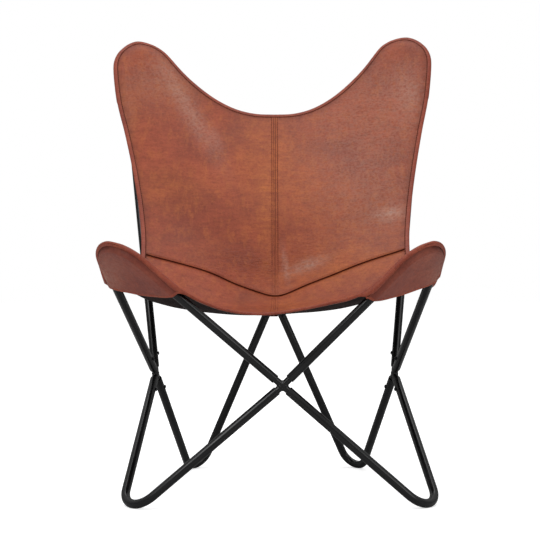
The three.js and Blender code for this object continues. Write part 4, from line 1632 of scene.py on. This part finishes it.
        # The middle seam is flat, so less shade is painted beside it than beside the hem:
        # it counts as farther away.
        seam_gap = np.abs(grid[..., 0] - self.hide.points[:, middle:middle + 1, 0])
        seam_gap = seam_gap * self.seam_gap_scale + self.seam_gap_start
        gap = np.minimum(self.edge_gap[:, half], seam_gap)
        materials = [finishes.leather, finishes.suede, finishes.edge]
        back = Sheet(grid[self.seat_rows:], vec(0, -0.8, 0.5))
        node = f"back_panel_{side.word}"
        piece = self.sheet_piece(f"{node}_hide", back, plan.leather, materials, [node],
                                 gap[self.seat_rows:])
        crease, ahead = grid[self.seat_rows], unit(grid[self.seat_rows + 2] - grid[self.seat_rows])
        drop = normals[self.seat_rows] * (plan.leather + plan.lap_gap)
        before = self.seat_rows - self.fall_rows + 1
        rows = [*grid[:before]]
        for share in np.arange(1, self.fall_rows + 1) / self.fall_rows:
            ease = share * share * (3 - 2 * share)
            rows.append(lerp(grid[before], crease, share) - drop * ease)
        rows.append(crease - drop + ahead * plan.crease_lap)
        seat = Sheet(np.array(rows), vec(0, -0.2, 1))
        self.seats[side] = Surface(seat.points, seat.normals)
        node = f"seat_panel_{side.word}"
        gap = np.vstack([gap[:before], np.repeat(gap[before:before + 1], self.fall_rows + 1, axis=0)])
        piece = self.sheet_piece(f"{node}_hide", seat, plan.leather, materials, [node], gap)

    def pocket_lines(self, side: Side, part: str) -> tuple[np.ndarray, np.ndarray]:
        """The two seams of a pocket, each from the corner's tip to the mouth.

        Args:
            side: The side of the chair.
            part: "seat" or "back".

        Returns:
            The seam on the front or top edge, and the one on the side edge.
        """
        edges = self.side_edges[side]
        pocket = self.plan.seat_pocket if part == "seat" else self.plan.back_pocket
        middle_edge = edges["front"] if part == "seat" else edges["top"]
        side_edge = edges["side_seat"] if part == "seat" else edges["side_back"][::-1]
        side_seam = pocket.side_seam - side.value * pocket.seams_lean
        return (self.first_stretch(middle_edge, pocket.middle_seam),
                self.first_stretch(side_edge, side_seam))

    def build_pocket(self, side: Side, part: str, tip: Tip, pocket: Pocket) -> None:
        """One corner pocket: a piece sewn below the corner, which wraps the tube, with a turned mouth.

        Args:
            side: The side of the chair.
            part: "seat" or "back".
            tip: The corner of the frame that sits in it.
            pocket: Its seams.
        """
        plan = self.plan
        shape = self.tubes.shape_of(tip, side)
        shares = lerp(plan.pocket_tip_share, 1, np.linspace(0, 1, self.pocket_rows + 1))
        first, second = (spaced(line, shares) for line in self.pocket_lines(side, part))
        across = np.linspace(0, 1, self.pocket_columns + 1)[None, :, None]
        grid = lerp(first[:, None], second[:, None], across)
        grid = grid + 4 * across * (1 - across) * pocket.bow * shares[:, None, None] * shape.inward
        normal = shape.sitter_normal
        height = (grid - shape.centre) @ normal
        flat = grid - height[..., None] * normal
        lowest = -(plan.tube_radius + plan.clearance + self.pocket_leather / 2)
        depth = lerp(height - plan.leather, lowest, self.under_tube(shape, flat))
        sheet = Sheet(flat + depth[..., None] * normal, -normal)
        node = f"{part}_pocket_{side.word}"
        seams = np.vstack(self.pocket_lines(side, part))
        # A dark band beside the side seam is painted shade: the shadow line where the pocket's bulge meets
        # the hem.
        side_gap = distance_to(sheet.points, self.pocket_lines(side, part)[1])
        shade = self.side_seam_shade * (1 - smoothstep(side_gap, *self.side_seam_reach))
        piece = self.sheet_piece(f"{node}_hide", sheet, self.pocket_leather, [
            self.finishes.pocket, self.finishes.suede, self.finishes.edge], [node],
            distance_to(sheet.points, seams), shade)
        surface = Surface(sheet.points, sheet.normals)
        self.pockets[side, part] = surface
        self.build_mouth(f"{part}_pocket_{side.word}_mouth", surface)

    def build_mouth(self, name: str, surface: Surface) -> None:
        """The turned edge of a pocket's mouth.

        Args:
            name: The piece's name.
            surface: The pocket's surface, whose last row is the mouth.
        """
        rim, facing = surface.points[-1], surface.normals[-1]
        ahead = unit(np.gradient(rim, axis=0))
        inward = np.cross(facing, ahead)
        inward = inward * np.sign(((surface.points[-4] - rim) * inward).sum(axis=-1))[:, None]
        half = self.pocket_leather / 2
        # Round the turned edge: how far in from the mouth, and how far off the middle of the leather.
        outline = [(4.4, -half + 0.3), (4.4, half + 0.15), (3.8, half + 0.5), (1.0, half + 0.6),
                   (0, half + 0.3), (-0.6, 0), (0, -half - 0.3), (1.0, -half - 0.5), (3.8, -half - 0.2)]
        rings = [rim + inward * across + facing * up for across, up in outline]
        self.sweep(name, rings, [0] * len(rings), False)

    def first_stretch(self, line: np.ndarray, length: float) -> np.ndarray:
        """The first stretch of a line, of a given length."""
        reach = np.concatenate([[0], np.cumsum(np.linalg.norm(np.diff(line, axis=0), axis=1))])
        return spaced(line, np.linspace(0, min(1, length / reach[-1]), self.stretch_points))

    def under_tube(self, shape: VTube, flat: np.ndarray) -> np.ndarray:
        """How far a pocket is down: 0 at the rim, 1 below the tube, less again between the arms.

        Args:
            shape: The tube in the pocket.
            flat: The pocket's points, brought into the plane of the tube.

        Returns:
            A share for each of them.
        """
        plan = self.plan
        away = shape.distance(flat)
        off = flat - shape.centre
        beside = np.all([off @ outward < shape.bend_radius for outward in shape.outwards], axis=0)
        in_bend = np.abs(np.arctan2(off @ shape.across, -(off @ shape.inward))) < shape.half_turn
        inside = np.where(in_bend, np.linalg.norm(off, axis=-1) < shape.bend_radius, beside)
        hollow = smoothstep(away, plan.tube_radius, plan.pocket_hollow_reach) * plan.pocket_hollow_share
        outer = smoothstep(plan.seat_rim - away, self.flange, plan.seat_rim - plan.tube_radius
                           + self.flange_over_tube)
        return np.where(inside, 1 - hollow, outer)

    def rim_loop(self) -> tuple[np.ndarray, np.ndarray, np.ndarray]:
        """The edge of the whole sling as a closed loop.

        Returns:
            For each of its points: the point, the direction in over the leather, and the grain's normal.
        """
        points, facing = self.rim_of(self.hide.points), self.rim_of(self.hide.normals)
        loop = np.vstack([points, points[:1]])
        reach = np.concatenate([[0], np.cumsum(np.linalg.norm(np.diff(loop, axis=0), axis=1))])
        shares = np.arange(self.rim_points) / self.rim_points
        fine = spaced(loop, shares)
        facing = np.vstack([facing, facing[:1]])
        facing = np.stack([np.interp(shares * reach[-1], reach, facing[:, i]) for i in range(3)], axis=1)
        for _ in range(self.rim_facing_passes):
            facing = unit((np.roll(facing, 1, axis=0) + np.roll(facing, -1, axis=0)) / 2 + facing)
        for _ in range(self.rim_smoothing_passes):
            fine = (np.roll(fine, 1, axis=0) + np.roll(fine, -1, axis=0) + 2 * fine) / 4
        ahead = unit(np.roll(fine, -1, axis=0) - np.roll(fine, 1, axis=0))
        inward = unit(np.cross(facing, ahead))
        return fine, inward, unit(np.cross(ahead, inward))

    def sweep(self, name: str, rings: list[np.ndarray], marks: Sequence[int], closed: bool,
              finish: Material | None = None) -> Object:
        """A strip of trim: an outline carried along a line.

        Args:
            name: The piece's name.
            rings: For each point of the outline, its places along the line.
            marks: The material index of the face after each point of the outline.
            closed: Whether the line ends where it starts.
            finish: Its finish, if it isn't that of the hem.

        Returns:
            The piece.
        """
        bm = bmesh.new()
        uv = bm.loops.layers.uv.new("UVMap")
        places = [place(ring, self.plan) for ring in rings]
        sides, count = len(rings), len(places[0])
        steps = np.linalg.norm(np.diff(places[0], axis=0), axis=1)
        reach = np.concatenate([[0], np.cumsum(steps), [steps.sum() + steps[-1]]])
        warmth = bm.verts.layers.float.new("warmth")
        verts = [[bm.verts.new(places[j][i]) for j in range(sides)] for i in range(count)]
        shares = self.patch_share("warmth", np.array(rings)) * bool(finish)
        for j, i in np.ndindex(sides, count):
            verts[i][j][warmth] = shares[j, i]
        for i in range(count if closed else count - 1):
            after = (i + 1) % count
            for j in range(sides):
                k = (j + 1) % sides
                face = bm.faces.new((verts[i][j], verts[after][j], verts[after][k], verts[i][k]))
                face.material_index = marks[j]
                for loop, (u, v) in zip(face.loops, ((i, j), (i + 1, j), (i + 1, j + 1), (i, j + 1))):
                    loop[uv].uv = (reach[u], v * MM)
        if not closed:
            bm.faces.new(verts[0])
            bm.faces.new(verts[-1])
        bmesh.ops.recalc_face_normals(bm, faces=bm.faces)
        piece = piece_of(bm, name, [finish or self.finishes.hem, self.finishes.edge])
        add_modifier(piece, "SUBSURF", levels=1, render_levels=1)
        return piece

    def build_hem(self) -> None:
        """The turned hem round the whole sling, laid on the panels and pockets, with its stitches."""
        plan = self.plan
        points, inward, facing = self.rim_loop()
        thick = plan.leather / 2
        top = thick + self.hem_height
        width, channel = self.hem_width, self.channel_width
        # From the leaf's edge, in its dark channel, out to the fold: how far in, and how high.
        leaf = [(width + channel, thick - 0.6), (width + channel, thick + 0.25), (width, thick + 0.2),
                (width - 0.6, top - 0.1), (width - 1.6, top), (width / 2, top + 0.1), (1.4, top)]
        upper = [self.hide.lay(points + inward * across, up) for across, up in leaf]
        wider = self.side_channel * smoothstep(np.abs(inward[:, :1]), *self.side_facing)
        share, lower = self.below_hem(points, inward, [across + wider if across > width else across
                                                       for across, _ in leaf])
        low = [lerp(self.hide.lay(points + inward * across, -up), deep, share[:, None])
               for (across, up), deep in zip(leaf, lower)]
        nose = [lerp(upper[-1], low[-1], down) - inward * out for down, out in NOSE]
        rings = [*upper, *nose, *low[::-1]]
        marks = [0] * len(rings)
        # The dark faces of the channel, on the upper leaf and on the lower one.
        for j in (0, 1, 2, len(rings) - 2, len(rings) - 3, len(rings) - 4):
            marks[j] = 1
        self.sweep("sling_hem", rings, marks, True)
        row = points + inward * (width + channel / 2)
        self.build_stitches("hem_stitches_front", self.hide.lay(row, thick + self.hem_thread_up),
                            facing, True)
        rear = self.hide.lay(row, -thick - self.hem_thread_up)
        rear = lerp(rear, (lower[0] + lower[2]) / 2, share[:, None])
        self.build_stitches("hem_stitches_rear", rear, facing, True)

    def below_hem(self, points: np.ndarray, inward: np.ndarray,
                  across: Sequence[np.ndarray | float]) -> tuple:
        """Where the lower leaf of the hem lies on the pockets.

        Args:
            points: The sling's edge.
            inward: The direction in over the leather at each of its points.
            across: How far in each row of the leaf is.

        Returns:
            How much each point of the edge is on a pocket, and the rows of the leaf.
        """
        share = np.zeros(len(points))
        rows = [points.copy() for _ in across]
        lift = [self.pocket_leather / 2 + up for up in LEAF_ON_POCKET]
        for (side, part), surface in self.pockets.items():
            gap = distance_to(points, np.vstack(self.pocket_lines(side, part)))
            near = 1 - smoothstep(gap, *self.pocket_near)
            chosen = np.flatnonzero(near > 0)
            share[chosen] = near[chosen]
            normal = -self.tubes.shape_of(
                self.plan.seat_corner if part == "seat" else self.plan.back_corner, side).sitter_normal
            base = points[chosen] + normal * self.plan.leather
            for row, distance, up in zip(rows, across, lift):
                row[chosen] = surface.lay(base + (inward * distance)[chosen], up)
        return share, rows

    def build_stitches(self, name: str, line: np.ndarray, facing: np.ndarray, closed: bool) -> None:
        """A row of stitches along a line.

        Args:
            name: The piece's name.
            line: Where the thread lies.
            facing: The way out of the leather at each of its points.
            closed: Whether the line ends where it starts.
        """
        path = np.vstack([line, line[:1]]) if closed else line
        out = np.vstack([facing, facing[:1]]) if closed else facing
        reach = np.concatenate([[0], np.cumsum(np.linalg.norm(np.diff(path, axis=0), axis=1))])
        template = bmesh.new()
        bmesh.ops.create_uvsphere(template, u_segments=6, v_segments=5, radius=1)
        template.verts.index_update()
        corners = [vert.co.copy() for vert in template.verts]
        faces = [[vert.index for vert in face.verts] for face in template.faces]
        template.free()
        size = Matrix.Diagonal((self.thread_radius * MM, self.thread_radius * MM,
                                self.stitch_length / 2 * MM, 1))
        bm = bmesh.new()
        for i in range(int(reach[-1] / self.stitch_pitch)):
            at = (i + 0.5) * self.stitch_pitch
            ends = [np.array([np.interp(at + step, reach, path[:, k]) for k in range(3)])
                    for step in (-self.stitch_length / 2, self.stitch_length / 2)]
            up = unit(np.array([np.interp(at, reach, out[:, k]) for k in range(3)]))
            middle = place((ends[0] + ends[1]) / 2, self.plan)
            placing = turn_to(unit(ends[1] - ends[0]), middle, up) @ size
            verts = [bm.verts.new(placing @ corner) for corner in corners]
            for face in faces:
                bm.faces.new([verts[index] for index in face])
        piece_of(bm, name, [self.finishes.thread])

    def build_seams(self) -> None:
        """The bands and stitches along the middle seams, and the strips behind them."""
        grid, normals = self.hide.points, self.hide.normals
        seat, back = self.seats[Side.RIGHT], slice(self.seat_rows, self.rows)
        for name, line, facing, height, grooves in (
                ("seat", seat.points[2:-1, 0], seat.normals[2:-1, 0], 0.5, (8, 11)),
                ("back", grid[back, self.columns], normals[back, self.columns], 0.9,
                 (3, 4, 7, 8, 11, 12, 15, 16))):
            facing = facing.copy()
            facing[:, 0] = 0
            facing = unit(facing)
            self.build_band(f"{name}_seam_band", line, facing, height, grooves)
            for side in Side:
                below = self.hide if name == "back" else self.seats[side]
                row = below.lay(line + vec(side.value * self.seam_half_width, 0, 0),
                                self.plan.leather / 2 + 0.2 * height + self.seam_thread_up)
                self.build_stitches(f"{name}_seam_stitches_{side.word}", row, facing, False)
            self.build_strip(name, line, facing)
        ahead = unit(grid[self.seat_rows + 2] - grid[self.seat_rows])
        lap = grid[self.seat_rows] + ahead * self.lap_stitch_inset
        lap = self.hide.lay(lap[3:-3], self.plan.leather / 2 + self.lap_thread_up)
        self.build_stitches("crease_stitches", lap, normals[self.seat_rows][3:-3], False)

    def build_band(self, name: str, line: np.ndarray, facing: np.ndarray, height: float,
                   grooves: Sequence[int]) -> None:
        """A narrow raised band over a middle seam, with a rib along its middle.

        Args:
            name: The piece's name.
            line: The seam.
            facing: The way out of the leather at each of its points.
            height: How far the band stands proud.
            grooves: Which faces of its outline are dark grooves.
        """
        base = self.plan.leather / 2
        # From the band's edge in to its rib: how far out, and how high. The thread lies in the outer one of
        # the two channels.
        half = [(8.6, -0.6), (8.6, 0.1), (7.6, 0.5), (6.45, 0.6), (self.seam_half_width, 0.2), (5.75, 0.7),
                (2.9, 0.95), (2.15, 0.8), (1.8, -0.1), (1.45, 0.6)]
        line, facing = (np.vstack([row[:1], lerp(row[0], row[1], 0.05), row[1:-1],
                                   lerp(row[-1], row[-2], 0.05), row[-1:]]) for row in (line, facing))
        outline = [(-x, up) for x, up in half] + [(0, 0.75)] + half[::-1]
        rings = [line + vec(x, 0, 0) + facing * (base + up * (height if up > 0 else 1)) for x, up in outline]
        marks = [1 if j in grooves else 0 for j in range(len(outline))]
        self.sweep(name, rings, marks, False, finish=self.finishes.leather)

    def build_strip(self, part: str, line: np.ndarray, facing: np.ndarray) -> None:
        """The strip of leather behind a middle seam.

        Args:
            part: "seat" or "back".
            line: The seam.
            facing: The way out of the leather at each of its points.
        """
        plan = self.plan
        drop = (plan.leather + plan.strip_thickness) / 2 + plan.strip_gap / 2
        below = (line - facing * drop)[2:]
        across = np.linspace(-0.5, 0.5, 7)[None, :, None] * plan.strip_width
        sheet = Sheet(below[:, None] + across * vec(1, 0, 0), -facing.mean(axis=0))
        node = f"{part}_seam_strip"
        piece = self.sheet_piece(f"{node}_hide", sheet, plan.strip_thickness, [
            self.finishes.suede, self.finishes.suede, self.finishes.edge], [node])


@dataclass(frozen=True)
class Lamp:
    """A square soft lamp that looks at a point: places and width in metres, power in watts."""

    name: str
    place: tuple[float, float, float]
    target: tuple[float, float, float]
    width: float
    power: float


@dataclass
class Studio:
    """The photograph's camera, a pale floor and plain soft light."""

    camera_place: tuple[float, float, float] = (-0.0493, -2.6632, 0.421)
    camera_turn: tuple[float, float, float] = (89.97, 0, -0.85)
    lens_mm: float = 89.93
    sensor_mm: float = 36
    floor_white: str = "#F4F4F4"
    floor_glint: str = "#F8F8F8"
    mirrored_grey: str = "#ACACAC"
    floor_half_width: float = 14
    floor_grain_mm: float = 30
    floor_glow: float = 0.6
    sky_span: tuple[float, float] = (-0.2, 0.9)
    sky_light: tuple[float, float] = (0.12, 0.75)
    mirrored_sky: float = 0.75
    lamps: tuple[Lamp, ...] = (
        Lamp("key", (-1.6, -2.6, 2.6), (0, 0, 0.55), 1.8, 34),
        Lamp("fill", (2.2, -2.4, 1.4), (0, 0, 0.5), 1.6, 12),
        Lamp("top", (0.0, 0.2, 3.0), (0, 0, 0.5), 2.2, 26),
    )

    def build(self) -> None:
        """Makes the camera, the floor, the world and the lamps."""
        scene = bpy.context.scene
        scene.view_settings.view_transform = "Standard"
        data = bpy.data.cameras.new("camera")
        data.lens, data.sensor_width = self.lens_mm, self.sensor_mm
        camera = bpy.data.objects.new("camera", data)
        camera.location = self.camera_place
        camera.rotation_euler = [math.radians(angle) for angle in self.camera_turn]
        scene.collection.objects.link(camera)
        scene.camera = camera
        self.build_floor()
        self.build_world()
        for lamp in self.lamps:
            self.add_lamp(lamp)

    def build_floor(self) -> None:
        """A wide white floor that keeps the chair's faint shadow."""
        material, tree = new_material("Studio floor, matt white")
        seen = add_node(tree, "ShaderNodeLightPath").outputs
        shown = add_node(tree, "ShaderNodeMath", {0: seen["Is Camera Ray"], 1: seen["Is Transmission Ray"]},
                         operation="MAXIMUM").outputs[0]
        grain = add_node(tree, "ShaderNodeTexNoise", {"Scale": per_metre(self.floor_grain_mm)}).outputs[0]
        tint = colour(self.floor_white)
        for share, hex_value in ((grain, self.floor_glint), (seen["Is Glossy Ray"], self.mirrored_grey)):
            tint = add_node(tree, "ShaderNodeMix", {0: share, 6: tint, 7: colour(hex_value)},
                            data_type="RGBA").outputs[2]
        paint = add_node(tree, "ShaderNodeBsdfDiffuse", {"Color": tint}).outputs[0]
        glow = add_node(tree, "ShaderNodeMath", {0: shown, 1: self.floor_glow},
                        operation="MULTIPLY").outputs[0]
        white = add_node(tree, "ShaderNodeEmission", {"Strength": glow}).outputs[0]
        both = add_node(tree, "ShaderNodeAddShader", {0: paint, 1: white}).outputs[0]
        add_node(tree, "ShaderNodeOutputMaterial", {"Surface": both})
        bm = bmesh.new()
        bmesh.ops.create_grid(bm, x_segments=2, y_segments=2, size=self.floor_half_width)
        mesh = bpy.data.meshes.new("floor")
        bm.to_mesh(mesh)
        bm.free()
        mesh.materials.append(material)
        floor = bpy.data.objects.new("floor", mesh)
        bpy.context.scene.collection.objects.link(floor)

    def build_world(self) -> None:
        """A world that shows white and lights the chair softly, more from above than from below."""
        world = bpy.data.worlds.new("Studio")
        world.use_nodes = True
        tree = world.node_tree
        tree.nodes.clear()
        seen = add_node(tree, "ShaderNodeLightPath").outputs
        shown = add_node(tree, "ShaderNodeMath", {0: seen["Is Camera Ray"], 1: seen["Is Transmission Ray"]},
                         operation="MAXIMUM").outputs[0]
        upward = add_node(tree, "ShaderNodeSeparateXYZ", {
            0: add_node(tree, "ShaderNodeTexCoord").outputs["Generated"]}).outputs[2]
        soft = add_node(tree, "ShaderNodeMapRange", {
            0: upward, **dict(enumerate((*self.sky_span, *self.sky_light), start=1))}).outputs[0]
        dim = add_node(tree, "ShaderNodeMapRange", {
            0: seen["Is Glossy Ray"], 3: 1, 4: self.mirrored_sky}).outputs[0]
        soft = add_node(tree, "ShaderNodeMath", {0: soft, 1: dim}, operation="MULTIPLY").outputs[0]
        strength = add_node(tree, "ShaderNodeMix", {0: shown, 2: soft, 3: 1.0}).outputs[0]
        sky = add_node(tree, "ShaderNodeBackground", {"Color": (1, 1, 1, 1), "Strength": strength})
        add_node(tree, "ShaderNodeOutputWorld", {"Surface": sky.outputs[0]})
        bpy.context.scene.world = world

    def add_lamp(self, lamp: Lamp) -> None:
        """Hangs a lamp.

        Args:
            lamp: Where it hangs, what it looks at, and how wide and strong it is.
        """
        data = bpy.data.lights.new(lamp.name, "AREA")
        data.size, data.energy = lamp.width, lamp.power
        holder = bpy.data.objects.new(lamp.name, data)
        holder.location = lamp.place
        holder.rotation_euler = (Vector(lamp.target) - Vector(lamp.place)).to_track_quat("-Z", "Y").to_euler()
        bpy.context.scene.collection.objects.link(holder)


def main() -> None:
    """Builds the chair and its studio; each piece logs how many faces it has."""
    logging.basicConfig(level=logging.INFO, format="%(message)s")
    plan, finishes = ChairPlan(), Finishes()
    tubes = TubeFrame(plan, finishes)
    tubes.build()
    sling = Sling(plan, tubes, finishes)
    sling.build()
    Studio().build()


if __name__ == "__main__":
    main()
